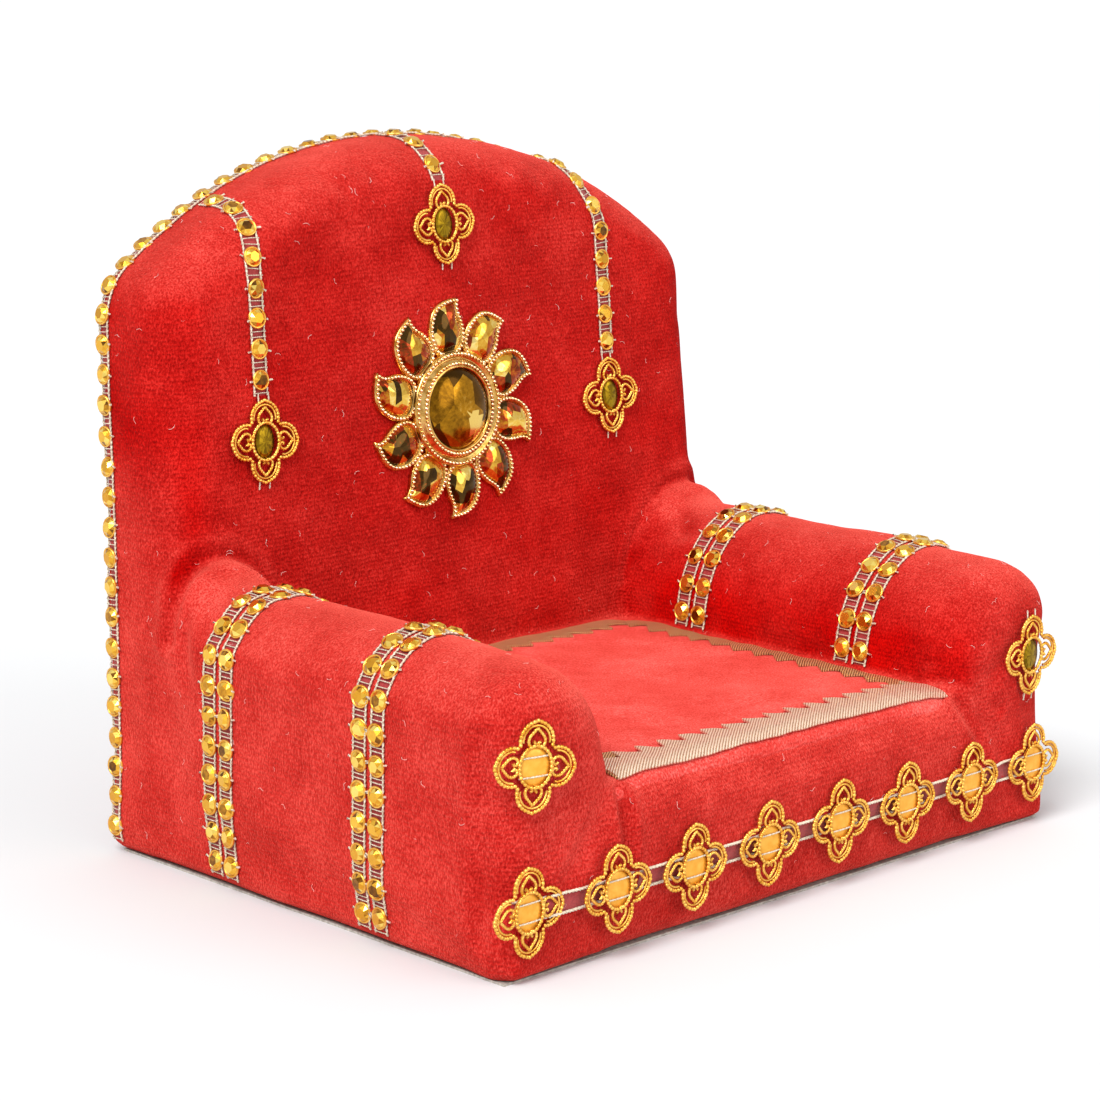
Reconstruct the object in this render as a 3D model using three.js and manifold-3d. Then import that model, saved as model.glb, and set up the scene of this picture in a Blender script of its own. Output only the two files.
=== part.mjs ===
// Miniature velvet throne for a household shrine, in millimetres.
// X runs to the right as seen from the front, Y runs to the back, Z runs up.
// The origin is the centre of the underside.
import * as THREE from "three";
import { mergeVertices } from "three/addons/utils/BufferGeometryUtils.js";
import Module from "manifold-3d";

const wasm = await Module();
wasm.setup();

// Overall sizes
const bodyWidth = 161;
const bodyDepth = 114;
const backHeight = 140.5;
const pieceGap = 0.3;

// Base card, a stiff sheet under everything
const cardThickness = 1.0;
const cardInset = 1.6;

// Backrest, a leaning padded panel with an arched top
const backThickness = 22;
const backLean = THREE.MathUtils.degToRad(4.75);
const backSideNarrowing = 4.5;
const archRadius = 118;
const shoulderRadius = 12;
const backFrontRounding = 11.5;
const backRearRounding = 2;
const edgeBlendHeight = 9;

// Arms, padded rolls with a steep outer side and a long inner slope
const armHeight = 57.2;
const armOuterRollWidth = 12.6;
const armOuterRollHeight = 12.2;
const armInnerRollHeight = 23;
const armFrontRounding = 10;
const armFloorRoundingShare = 0.2;
const armFrontDrop = 2;
const armDropLength = 34;
const armRearBlend = 10;
const armRearRise = 3;
const leftArmWidth = 29;
const rightArmWidth = 32.5;

// Trims of the arms. Front bands are measured from the front, rear bands from the backrest at the top of the
// arm, and motifs from the side and from the floor.
const leftFrontBandDistance = 34.6;
const leftRearBandSetback = 18.95;
const rightFrontBandDistance = 28.5;
const rightRearBandSetback = 23.05;
const leftMotifInset = 6.5;
const leftMotifHeight = 39.8;
const rightMotifInset = 11.5;
const rightMotifHeight = 37.4;

// Seat block and the loose mat on it
const seatHeight = 31.3;
const seatFrontRounding = 3.2;
const matThickness = 1.8;
const matSideMargin = 0.9;
const matBackMargin = 0.9;
const matFrontMargin = 3.4;
const matRounding = 0.8;

// Woven borders on the mat
const borderWidth = 9.4;
const borderThickness = 0.7;
const toothPitch = 6.5;
const toothDepth = 3.2;
const borderEdgeMargin = 0.3;

// Stone chain: flat thread strip with round stones at an even pitch
const stonePitch = 6;
const stoneDiameter = 4.3;
const stoneHeight = 1.3;
const stripThickness = 0.7;
const singleStripWidth = 5.3;
const bandRowSpacing = 5.5;
const chainFloorClearance = 1.4;
const rimSetback = 3;

// Hanging chains, from the rim down the face. The outer two are placed from the sides of the body and the
// middle one from its middle. A drop is how far a chain's lower end lies below the top of the backrest.
const leftChainTopInset = 29;
const leftChainEndInset = 26.5;
const middleChainTopOffset = 3.2;
const middleChainEndOffset = 3;
const rightChainTopInset = 40.5;
const rightChainEndInset = 36;
const outerChainDrop = 48.9;
const middleChainDrop = 8.9;

// Quatrefoil motifs
const motifHeight = 17.3;
const motifWidth = 17.7;
const motifThickness = 1.1;
const motifBossWidth = 5.2;
const motifBossHeight = 6.8;
const motifBossRise = 0.8;
const motifBossTopShare = 0.72;
const motifLobeRadius = 3.85;
const motifTipLength = 0.26;
const hangingMotifSpacing = 0.4;

// Front lace: motifs on a net ribbon
const laceMotifCount = 8;
const laceMotifPitch = 21;
const laceShift = 2;
const laceHeight = 13.7;
const ribbonHeight = 6.4;
const ribbonThickness = 0.5;
const ribbonEndMargin = 3;

// Sun medallion
const medallionDrop = 56.4;
const medallionShift = 2.4;
const medallionDiameter = 46;
const petalCount = 10;
const petalWidth = 8.6;
const petalThickness = 2.2;
const petalTuck = 2;
const petalTurn = THREE.MathUtils.degToRad(4);
const ringDiameter = 24.4;
const ringThickness = 3.0;
const ringChamfer = 0.9;
const cabochonDiameter = 16.6;
const cabochonRise = 1.4;
const cabochonMoat = 0.6;
const cabochonSink = 0.4;

// Worked-out values
const halfWidth = bodyWidth / 2;
const halfDepth = bodyDepth / 2;
const frontY = -halfDepth;
const bodyBottom = cardThickness + pieceGap;
const leanSlope = Math.tan(backLean);
const backFrontAtFloor = halfDepth - backThickness;
const archCentreZ = backHeight - archRadius;
const halfTop = halfWidth - backSideNarrowing;
const shoulderZ = archCentreZ + Math.sqrt(archRadius ** 2 - halfTop ** 2);
const sideTaper = backSideNarrowing / shoulderZ;

const armLength = backFrontAtFloor + leanSlope * armHeight - frontY;

const arms = [
  {
    name: "left",
    side: -1,
    width: leftArmWidth,
    bands: { front: leftFrontBandDistance, rear: armLength - leftRearBandSetback },
    motif: { inset: leftMotifInset, height: leftMotifHeight },
  },
  {
    name: "right",
    side: 1,
    width: rightArmWidth,
    bands: { front: rightFrontBandDistance, rear: armLength - rightRearBandSetback },
    motif: { inset: rightMotifInset, height: rightMotifHeight },
  },
];
const [leftArm, rightArm] = arms;

const hangingChains = [
  {
    name: "left",
    topX: leftChainTopInset - halfWidth,
    bottomX: leftChainEndInset - halfWidth,
    bottomZ: backHeight - outerChainDrop,
  },
  {
    name: "centre",
    topX: -middleChainTopOffset,
    bottomX: -middleChainEndOffset,
    bottomZ: backHeight - middleChainDrop,
  },
  {
    name: "right",
    topX: halfWidth - rightChainTopInset,
    bottomX: halfWidth - rightChainEndInset,
    bottomZ: backHeight - outerChainDrop,
  },
];

const finish = (colour, roughness, metalness) =>
  new THREE.MeshStandardMaterial({ color: colour, roughness, metalness });

const throne = new THREE.Group();

function place(name, geometry, material) {
  const mesh = new THREE.Mesh(geometry, material);
  mesh.name = name;
  throne.add(mesh);
}

// Closed surface from a stack of loops with equal numbers of points. The first and last loop are closed
// by a fan of triangles round their middle.
function stackGeometry(loops) {
  const count = loops[0].length;
  const points = loops.flat();
  const faces = [];
  for (let ring = 0; ring + 1 < loops.length; ring += 1) {
    for (let index = 0; index < count; index += 1) {
      const a = ring * count + index;
      const b = ring * count + ((index + 1) % count);
      faces.push(a, b, b + count, a, b + count, a + count);
    }
  }
  const lastStart = (loops.length - 1) * count;
  const firstMiddle = points.push(middleOf(loops[0])) - 1;
  const lastMiddle = points.push(middleOf(loops[loops.length - 1])) - 1;
  for (let index = 0; index < count; index += 1) {
    const next = (index + 1) % count;
    faces.push(firstMiddle, next, index, lastMiddle, lastStart + index, lastStart + next);
  }
  return outward(points.flatMap((point) => [point.x, point.y, point.z]), faces);
}

function middleOf(loop) {
  const sum = loop.reduce((total, point) => total.add(point), new THREE.Vector3());
  return sum.multiplyScalar(1 / loop.length);
}

// Geometry from positions and faces, turned so that its faces point out.
function outward(positions, faces) {
  let volume = 0;
  const corner = (index) => new THREE.Vector3().fromArray(positions, index * 3);
  for (let face = 0; face < faces.length; face += 3) {
    const [a, b, c] = [corner(faces[face]), corner(faces[face + 1]), corner(faces[face + 2])];
    volume += a.dot(b.cross(c));
  }
  const order = volume > 0 ? faces : faces.slice().reverse();
  const geometry = new THREE.BufferGeometry();
  geometry.setAttribute("position", new THREE.Float32BufferAttribute(positions, 3));
  geometry.setIndex(order);
  return geometry;
}

function solidOf(geometry) {
  const bare = geometry.clone();
  bare.deleteAttribute("normal");
  bare.deleteAttribute("uv");
  const merged = mergeVertices(bare, 1e-4);
  const mesh = new wasm.Mesh({
    numProp: 3,
    vertProperties: merged.attributes.position.array,
    triVerts: new Uint32Array(merged.index.array),
  });
  return new wasm.Manifold(mesh);
}

function geometryOf(solid) {
  const mesh = solid.getMesh();
  const geometry = new THREE.BufferGeometry();
  geometry.setAttribute("position", new THREE.BufferAttribute(mesh.vertProperties, 3));
  geometry.setIndex(new THREE.BufferAttribute(mesh.triVerts, 1));
  return geometry;
}

function joined(geometries) {
  const solids = geometries.map(solidOf);
  return geometryOf(solids.reduce((whole, piece) => whole.add(piece)));
}

const mirroredX = (loop) => loop.map((p) => new THREE.Vector3(-p.x, p.y, p.z)).reverse();

// Points of an ellipse quarter or arc, as [across, up] pairs.
function arcPoints(centreA, centreB, radiusA, radiusB, from, to, steps) {
  const points = [];
  for (let step = 0; step <= steps; step += 1) {
    const angle = from + ((to - from) * step) / steps;
    points.push([centreA + radiusA * Math.cos(angle), centreB + radiusB * Math.sin(angle)]);
  }
  return points;
}

// Backrest

const backFrontY = (z) => backFrontAtFloor + leanSlope * z;
const backHalfWidth = (z) => halfWidth - sideTaper * z;

// Half outline of the backrest seen from the front, from the floor up the right side to the middle of the
// arch, each point with its outward normal. The shoulder is a short arc between the side and the arch.
function backHalfOutline(archSteps, shoulderSteps) {
  const sideNormal = new THREE.Vector2(1, sideTaper).normalize();
  const sidePoint = new THREE.Vector2(halfWidth, 0);
  const innerRadius = archRadius - shoulderRadius;
  // The shoulder's centre lies one shoulder radius inside both the side line and the arch.
  const offset = sidePoint.dot(sideNormal) - shoulderRadius - sideNormal.y * archCentreZ;
  const angleAtSide = Math.atan2(sideNormal.y, sideNormal.x);
  const archAngle = angleAtSide + Math.acos(offset / innerRadius);
  const centre = new THREE.Vector2(
    innerRadius * Math.cos(archAngle),
    archCentreZ + innerRadius * Math.sin(archAngle),
  );
  const outline = [];
  const add = (x, z, nx, nz) => outline.push({ x, z, nx, nz });
  const sideEnd = centre.clone().addScaledVector(sideNormal, shoulderRadius);
  const blendLevels = [-1, -0.5, 0, 0.5, 1].map((share) => armHeight + share * edgeBlendHeight);
  const sideLevels = [bodyBottom, seatHeight, ...blendLevels];
  sideLevels.forEach((z) => add(backHalfWidth(z), z, sideNormal.x, sideNormal.y));
  add(sideEnd.x, sideEnd.y, sideNormal.x, sideNormal.y);
  for (let step = 1; step < shoulderSteps; step += 1) {
    const angle = angleAtSide + ((archAngle - angleAtSide) * step) / shoulderSteps;
    const [nx, nz] = [Math.cos(angle), Math.sin(angle)];
    add(centre.x + shoulderRadius * nx, centre.y + shoulderRadius * nz, nx, nz);
  }
  for (let step = 0; step <= archSteps; step += 1) {
    const angle = archAngle + ((Math.PI / 2 - archAngle) * step) / archSteps;
    const [nx, nz] = [Math.cos(angle), Math.sin(angle)];
    add(archRadius * nx, archCentreZ + archRadius * nz, nx, nz);
  }
  return outline;
}

function fullOutline(half) {
  const left = half
    .slice(0, -1)
    .map(({ x, z, nx, nz }) => ({ x: -x, z, nx: -nx, nz }));
  return [...half, ...left.reverse()];
}

// How much of the edge rounding shows at a height: none beside the arms, all of it above them.
const edgeShare = (z) =>
  THREE.MathUtils.smoothstep(z, armHeight - edgeBlendHeight, armHeight + edgeBlendHeight);

function backLoop(outline, depth, inset) {
  return outline.map(({ x, z, nx, nz }) => {
    const own = inset * edgeShare(z);
    const px = x - nx * own;
    const pz = Math.max(bodyBottom, z - nz * own);
    return new THREE.Vector3(px, backFrontY(pz) + depth, pz);
  });
}

function backrestGeometry() {
  const outline = fullOutline(backHalfOutline(12, 3));
  const loops = [backLoop(outline, backThickness, backRearRounding)];
  loops.push(backLoop(outline, backThickness - backRearRounding, 0));
  for (let step = 0; step <= 3; step += 1) {
    const angle = (Math.PI / 2) * (step / 3);
    const depth = backFrontRounding * (1 - Math.sin(angle));
    loops.push(backLoop(outline, depth, backFrontRounding * (1 - Math.cos(angle))));
  }
  return stackGeometry(loops);
}

// A point of the backrest's padded front edge over one X: an angle of zero is where the flat front ends,
// a right angle is where the top of the edge begins, and a depth counts on from there towards the back.
function archEdgePlace(x, angle, depth = 0) {
  const radius = archRadius - backFrontRounding * (1 - Math.sin(angle));
  const z = archCentreZ + Math.sqrt(radius ** 2 - x ** 2);
  const y = backFrontY(z) + backFrontRounding * (1 - Math.cos(angle)) + depth;
  const outwards = new THREE.Vector3(x, 0, z - archCentreZ).normalize();
  const normal = outwards.multiplyScalar(Math.sin(angle)).addScaledVector(backNormal, Math.cos(angle));
  return { point: new THREE.Vector3(x, y, z), normal: normal.normalize() };
}

const backNormal = new THREE.Vector3(0, -1, leanSlope).normalize();
const backFrontPoint = (x, z) => new THREE.Vector3(x, backFrontY(z), z);

// Arms

// Outline of a right-hand arm's section from the seat side at the bottom, over the roll, to the outer bottom.
function armOutline(width, innerSteps, outerSteps) {
  const innerX = halfWidth - width;
  const crestX = halfWidth - armOuterRollWidth;
  const innerRoll = arcPoints(
    crestX,
    armHeight - armInnerRollHeight,
    width - armOuterRollWidth,
    armInnerRollHeight,
    Math.PI,
    Math.PI / 2,
    innerSteps,
  );
  const outerRoll = arcPoints(
    crestX,
    armHeight - armOuterRollHeight,
    armOuterRollWidth,
    armOuterRollHeight,
    Math.PI / 2,
    0,
    outerSteps,
  );
  const walls = [bodyBottom, armHeight * 0.2, armHeight * 0.38];
  const innerWall = walls.map((z) => [innerX, z]);
  const outerWall = walls.map((z) => [halfWidth, z]).reverse();
  return [...innerWall, ...innerRoll, ...outerRoll.slice(1), ...outerWall];
}

// How much of the front rounding shows at a height: little at the floor, all of it beside the roll.
const frontRoundingShare = (z) => {
  const climb = THREE.MathUtils.smoothstep(z, 0, armHeight * 0.65);
  return THREE.MathUtils.lerp(armFloorRoundingShare, 1, climb);
};

// Section loop drawn in by an inset. Its place is a depth behind the front plane, or else a distance
// before the rear end, which follows the leaning backrest, narrows to the backrest's side and rises a little.
function armLoop(width, { depth = null, rear = null, inset = 0 }) {
  const outline = armOutline(width, 7, 5);
  const last = outline.length - 1;
  const frontShare = depth === null ? 0 : Math.max(0, 1 - depth / armDropLength);
  const rearShare = rear === null ? 0 : 1 - THREE.MathUtils.smoothstep(rear, 0, armRearBlend);
  return outline.map(([x, z], index) => {
    const [px, pz] = outline[Math.max(0, index - 1)];
    const [qx, qz] = outline[Math.min(last, index + 1)];
    const length = Math.hypot(qx - px, qz - pz);
    const [nx, nz] = [-(qz - pz) / length, (qx - px) / length];
    const onFloor = z === bodyBottom;
    const share = frontRoundingShare(z);
    const fall = armFrontDrop * frontShare * (z / armHeight) ** 4;
    const rise = armRearRise * rearShare * (z / armHeight) ** 4;
    const height = onFloor ? z : z - nz * inset * share - fall + rise;
    const sideLimit = THREE.MathUtils.lerp(halfWidth, backHalfWidth(height), rearShare);
    const across = Math.min(x - nx * inset * share, sideLimit);
    const y = depth === null ? backFrontY(height) - pieceGap - rear : frontY + depth;
    return new THREE.Vector3(across, y, height);
  });
}

function armGeometry({ side, width }) {
  const loops = [0, 0.35, 0.7, 1].map((share) => armLoop(width, { rear: armRearBlend * share }));
  [1, 0.6].forEach((share) => loops.push(armLoop(width, { depth: armDropLength * share })));
  for (let step = 0; step <= 4; step += 1) {
    const angle = (Math.PI / 2) * (step / 4);
    const depth = armFrontRounding * (1 - Math.sin(angle));
    loops.push(armLoop(width, { depth, inset: armFrontRounding * (1 - Math.cos(angle)) }));
  }
  return stackGeometry(side > 0 ? loops : loops.map(mirroredX));
}

// Seat block and mat

const seatLeft = -halfWidth + leftArm.width + pieceGap;
const seatRight = halfWidth - rightArm.width - pieceGap;

function boxLoop(left, right, front, back, z) {
  const corners = [[left, front], [right, front], [right, back], [left, back]];
  return corners.map(([x, y]) => new THREE.Vector3(x, y, z));
}

function seatGeometry() {
  const loopAt = (z, front) => boxLoop(seatLeft, seatRight, front, backFrontY(z) - pieceGap, z);
  const loops = [loopAt(bodyBottom, frontY)];
  for (let step = 0; step <= 4; step += 1) {
    const angle = (Math.PI / 2) * (step / 4);
    const z = seatHeight - seatFrontRounding * (1 - Math.sin(angle));
    loops.push(loopAt(z, frontY + seatFrontRounding * (1 - Math.cos(angle))));
  }
  return stackGeometry(loops);
}

const matLeft = seatLeft + matSideMargin;
const matRight = seatRight - matSideMargin;
const matBottom = seatHeight + pieceGap;
const matTop = matBottom + matThickness;
const matFront = frontY + matFrontMargin;
const matBack = backFrontY(matTop) - pieceGap - matBackMargin;

function matGeometry() {
  const side = (inset, z) => boxLoop(matLeft + inset, matRight - inset, matFront + inset, matBack - inset, z);
  const loops = [side(matRounding * 0.5, matBottom), side(0, matBottom + matRounding * 0.5)];
  for (let step = 0; step <= 3; step += 1) {
    const angle = (Math.PI / 2) * (step / 3);
    loops.push(side(matRounding * (1 - Math.cos(angle)), matTop - matRounding * (1 - Math.sin(angle))));
  }
  return stackGeometry(loops);
}

// One woven strip: straight outer edge, sawtooth inner edge, ends cut at 45 degrees for the mitred corners.
function borderGeometry(length) {
  const shape = new THREE.Shape();
  const mitre = borderWidth + pieceGap;
  const innerLength = length - 2 * mitre;
  const teeth = Math.max(1, Math.round(innerLength / toothPitch));
  const base = borderWidth - toothDepth;
  shape.moveTo(pieceGap, 0);
  shape.lineTo(length - pieceGap, 0);
  shape.lineTo(length - mitre, base);
  for (let tooth = teeth - 1; tooth >= 0; tooth -= 1) {
    const start = mitre + (innerLength * tooth) / teeth;
    const width = innerLength / teeth;
    shape.lineTo(start + width / 2, borderWidth);
    if (tooth > 0) shape.lineTo(start, base);
  }
  shape.lineTo(mitre, base);
  shape.closePath();
  return new THREE.ExtrudeGeometry(shape, { depth: borderThickness, bevelEnabled: false, curveSegments: 1 });
}

// Stone chains

// A strip of cells along a row of places, each with a point, a normal and the direction across.
// Every cell carries one low six-sided stone for each row.
function stoneStripGeometry(places, rows, rowSpacing) {
  const positions = [];
  const faces = [];
  const addPoint = (point) => positions.push(point.x, point.y, point.z) / 3 - 1;
  const stripWidth = singleStripWidth + (rows - 1) * rowSpacing;
  const columns = Array.from({ length: rows + 1 }, (_, row) => {
    if (row === 0) return -stripWidth / 2;
    if (row === rows) return stripWidth / 2;
    return (row - rows / 2) * rowSpacing;
  });
  const lifted = places.map((place, index) => {
    const before = places[Math.max(0, index - 1)].normal;
    const after = places[Math.min(places.length - 1, index + 1)].normal;
    const turn = Math.max(before.angleTo(place.normal), after.angleTo(place.normal));
    const lift = pieceGap + (stonePitch * turn) / 6;
    return { ...place, foot: place.point.clone().addScaledVector(place.normal, lift) };
  });
  const bottoms = lifted.map(({ foot, across }) =>
    [columns[0], columns[rows]].map((column) => addPoint(foot.clone().addScaledVector(across, column))),
  );
  const tops = lifted.map(({ foot, across, normal }) =>
    columns.map((column) =>
      addPoint(foot.clone().addScaledVector(normal, stripThickness).addScaledVector(across, column)),
    ),
  );
  const quad = (a, b, c, d) => faces.push(a, b, c, a, c, d);
  for (let cell = 0; cell + 1 < places.length; cell += 1) {
    const [low, high] = [tops[cell], tops[cell + 1]];
    const [lowBottom, highBottom] = [bottoms[cell], bottoms[cell + 1]];
    quad(lowBottom[0], highBottom[0], highBottom[1], lowBottom[1]);
    quad(lowBottom[0], low[0], high[0], highBottom[0]);
    quad(lowBottom[1], highBottom[1], high[rows], low[rows]);
    for (let row = 0; row < rows; row += 1) {
      const corners = [high[row], low[row], low[row + 1], high[row + 1]];
      stoneCell(positions, faces, addPoint, corners, places[cell].normal);
    }
  }
  const last = places.length - 1;
  endCap(faces, bottoms[0], tops[0], false);
  endCap(faces, bottoms[last], tops[last], true);
  return outward(positions, faces);
}

// Fan that closes one end of a strip.
function endCap(faces, bottom, top, far) {
  const loop = [bottom[0], ...top, bottom[1]];
  for (let index = 1; index + 1 < loop.length; index += 1) {
    const triangle = [loop[0], loop[index + 1], loop[index]];
    faces.push(...(far ? triangle.reverse() : triangle));
  }
}

// One cell's top: a six-sided stone in the middle of the four corners, which run round the cell in order.
function stoneCell(positions, faces, addPoint, corners, outwards) {
  const points = corners.map((index) => new THREE.Vector3().fromArray(positions, index * 3));
  const along = points[1].clone().sub(points[0]).normalize();
  const sideways = points[3].clone().sub(points[0]).normalize();
  const normal = along.clone().cross(sideways).normalize();
  if (normal.dot(outwards) < 0) normal.negate();
  const centre = points.reduce((sum, point) => sum.add(point), new THREE.Vector3()).multiplyScalar(1 / 4);
  const radius = stoneDiameter / 2;
  const rim = [];
  for (let side = 0; side < 6; side += 1) {
    const angle = (Math.PI / 3) * side;
    const point = centre
      .clone()
      .addScaledVector(sideways, -radius * Math.cos(angle))
      .addScaledVector(along, radius * Math.sin(angle));
    rim.push(addPoint(point));
  }
  const apex = addPoint(centre.addScaledVector(normal, stoneHeight));
  const [nearLeft, farLeft, farRight, nearRight] = corners;
  for (let side = 0; side < 6; side += 1) faces.push(rim[side], rim[(side + 1) % 6], apex);
  const ring = [
    [nearLeft, farLeft, rim[0]],
    [farLeft, rim[1], rim[0]],
    [farLeft, rim[2], rim[1]],
    [farLeft, farRight, rim[2]],
    [farRight, rim[3], rim[2]],
    [farRight, nearRight, rim[3]],
    [nearRight, rim[4], rim[3]],
    [nearRight, rim[5], rim[4]],
    [nearRight, nearLeft, rim[5]],
    [nearLeft, rim[0], rim[5]],
  ];
  ring.forEach((triangle) => faces.push(...triangle));
}

function pathLength(path) {
  return path.slice(1).reduce((sum, { point }, index) => sum + point.distanceTo(path[index].point), 0);
}

// Places along a finely stepped path of surface points with normals, as near to the stone pitch as fills it.
function evenPlaces(path) {
  const cells = Math.max(1, Math.round(pathLength(path) / stonePitch));
  const pitch = pathLength(path) / cells;
  const places = [];
  let travelled = 0;
  for (let index = 0; index + 1 < path.length; index += 1) {
    const [here, there] = [path[index], path[index + 1]];
    const length = here.point.distanceTo(there.point);
    while (places.length <= cells && places.length * pitch <= travelled + length + pitch * 1e-6) {
      const share = (places.length * pitch - travelled) / length;
      const normal = here.normal.clone().lerp(there.normal, share).normalize();
      places.push({ point: here.point.clone().lerp(there.point, share), normal });
    }
    travelled += length;
  }
  places.forEach((place, index) => {
    const after = places[Math.min(cells, index + 1)].point;
    const along = after.clone().sub(places[Math.max(0, index - 1)].point);
    place.across = place.normal.clone().cross(along).normalize();
  });
  return places;
}

// Path round the edge of the backrest, from the floor on the left over the arch to the floor on the right.
function rimPath() {
  const outline = fullOutline(backHalfOutline(40, 8)).reverse();
  const depth = backThickness - rimSetback;
  const low = bodyBottom + chainFloorClearance;
  return outline.map(({ x, z, nx, nz }) => {
    const height = Math.max(z, low);
    const point = new THREE.Vector3(Math.sign(x) * Math.min(Math.abs(x), backHalfWidth(height)), 0, height);
    point.y = backFrontY(height) + depth;
    return { point, normal: new THREE.Vector3(nx, 0, nz) };
  });
}

// Path over an arm at one distance from the front, from the outer floor over the roll down to the seat.
function armPath({ side, width }, fromFront) {
  const fall = armFrontDrop * Math.max(0, 1 - fromFront / armDropLength);
  const outline = armOutline(width, 14, 10).reverse();
  const innerX = halfWidth - width;
  const lowest = (x) => (x === innerX ? matTop : bodyBottom + chainFloorClearance);
  const points = outline.map(([x, z]) => {
    const height = Math.max(z, lowest(x));
    return new THREE.Vector3(side * x, frontY + fromFront, height - fall * (height / armHeight) ** 4);
  });
  const path = points.filter((point, index) => index === 0 || point.distanceTo(points[index - 1]) > pieceGap);
  return path.map((point, index) => {
    const before = path[Math.max(0, index - 1)];
    const after = path[Math.min(path.length - 1, index + 1)];
    const along = after.clone().sub(before);
    return { point, normal: new THREE.Vector3(side * along.z, 0, -side * along.x).normalize() };
  });
}

// Path from the rim chain over the rounded edge and down the face of the backrest.
function hangingPath({ topX, bottomX, bottomZ }) {
  const steps = 24;
  const path = [];
  const topDepth = backThickness - backFrontRounding - rimSetback - singleStripWidth / 2 - 2 * pieceGap;
  path.push(archEdgePlace(topX, Math.PI / 2, topDepth));
  for (let step = steps; step >= 0; step -= 1) {
    const edge = archEdgePlace(topX, (Math.PI / 2) * (step / steps));
    if (edge.point.z > bottomZ) path.push(edge);
  }
  const flatTop = path[path.length - 1].point.z;
  const onFlat = path.length === steps + 2;
  for (let step = 1; onFlat && step <= steps; step += 1) {
    const share = step / steps;
    const x = THREE.MathUtils.lerp(topX, bottomX, share);
    const z = THREE.MathUtils.lerp(flatTop, bottomZ, share);
    path.push({ point: backFrontPoint(x, z), normal: backNormal });
  }
  return path;
}

// Motifs

// Quatrefoil outline: four round lobes that meet in notches, with a small point at each tip.
function quatrefoilShape() {
  const tipRadius = motifLobeRadius + motifTipLength;
  const sideReach = motifWidth / 2 - tipRadius;
  const topReach = motifHeight / 2 - tipRadius;
  const spread = Math.hypot(sideReach, topReach);
  const rise = Math.sqrt(Math.max(0, motifLobeRadius ** 2 - (spread / 2) ** 2));
  const notchX = sideReach / 2 + (rise * topReach) / spread;
  const notchZ = topReach / 2 + (rise * sideReach) / spread;
  const sideSpan = Math.atan2(notchZ, notchX - sideReach);
  const topSpan = Math.atan2(notchX, notchZ - topReach);
  const points = [];
  for (let lobe = 0; lobe < 4; lobe += 1) {
    const direction = (Math.PI / 2) * lobe;
    const [reach, span] = lobe % 2 === 0 ? [sideReach, sideSpan] : [topReach, topSpan];
    const [cx, cz] = [reach * Math.cos(direction), reach * Math.sin(direction)];
    [-1, -0.62, -0.25, 0, 0.25, 0.62].forEach((share) => {
      const angle = direction + span * share;
      const radius = share === 0 ? tipRadius : motifLobeRadius;
      points.push(new THREE.Vector2(cx + radius * Math.cos(angle), cz + radius * Math.sin(angle)));
    });
  }
  return new THREE.Shape(points);
}

// A motif lies in the plane of x and y with its back at zero, and rises along +z.
function motifGeometry() {
  const plate = new THREE.ExtrudeGeometry(quatrefoilShape(), { depth: motifThickness, bevelEnabled: false });
  const boss = new THREE.CylinderGeometry(motifBossTopShare, 1, motifBossRise * 2, 10);
  boss.rotateX(Math.PI / 2);
  boss.scale(motifBossWidth / 2, motifBossHeight / 2, 1);
  boss.translate(0, 0, motifThickness);
  return joined([plate, boss]);
}

// Turns a flat piece so that its face looks along a normal and its height runs up, then sets it in place.
function faceOut(geometry, point, normal) {
  const up = new THREE.Vector3(0, 0, 1);
  const across = up.clone().cross(normal).normalize();
  const upright = normal.clone().cross(across);
  const turn = new THREE.Matrix4().makeBasis(across, upright, normal);
  geometry.applyMatrix4(turn);
  geometry.translate(point.x, point.y, point.z);
  return geometry;
}

// Sun medallion

// One petal: a round belly at the ring, and a tip at the edge that bends clockwise.
function petalShape() {
  const inner = ringDiameter / 2 - petalTuck;
  const length = medallionDiameter / 2 - inner;
  const half = petalWidth / 2;
  const at = (along, across) => [inner + length * along, half * across];
  const shape = new THREE.Shape();
  shape.moveTo(...at(0, 0.7));
  shape.quadraticCurveTo(...at(0.35, 1.5), ...at(0.75, 0.5));
  shape.quadraticCurveTo(...at(0.95, 0.05), ...at(1, -0.8));
  shape.quadraticCurveTo(...at(0.8, -0.5), ...at(0.55, -0.9));
  shape.quadraticCurveTo(...at(0.2, -1.3), ...at(0, -0.7));
  shape.closePath();
  return shape;
}

function medallionGeometry() {
  const pieces = [];
  for (let petal = 0; petal < petalCount; petal += 1) {
    const options = { depth: petalThickness, bevelEnabled: false, curveSegments: 3 };
    const geometry = new THREE.ExtrudeGeometry(petalShape(), options);
    geometry.rotateZ((Math.PI * 2 * (petal + 0.5)) / petalCount + petalTurn);
    pieces.push(geometry);
  }
  const ringRadius = ringDiameter / 2;
  const stoneRadius = cabochonDiameter / 2;
  const profile = [
    [0, 0],
    [ringRadius, 0],
    [ringRadius, petalThickness],
    [ringRadius - ringChamfer, ringThickness],
    [stoneRadius + cabochonMoat, ringThickness],
    [stoneRadius, ringThickness - cabochonSink],
    [stoneRadius * 0.72, ringThickness + cabochonRise * 0.58],
    [0, ringThickness + cabochonRise],
  ].map(([radius, height]) => new THREE.Vector2(radius, height));
  const hub = new THREE.LatheGeometry(profile, 20);
  hub.rotateX(Math.PI / 2);
  pieces.push(hub);
  return joined(pieces);
}

// The throne's pieces

const velvet = () => finish(0xd8302a, 0.95, 0);
const gold = () => finish(0xe3a62b, 0.35, 1);

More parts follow.
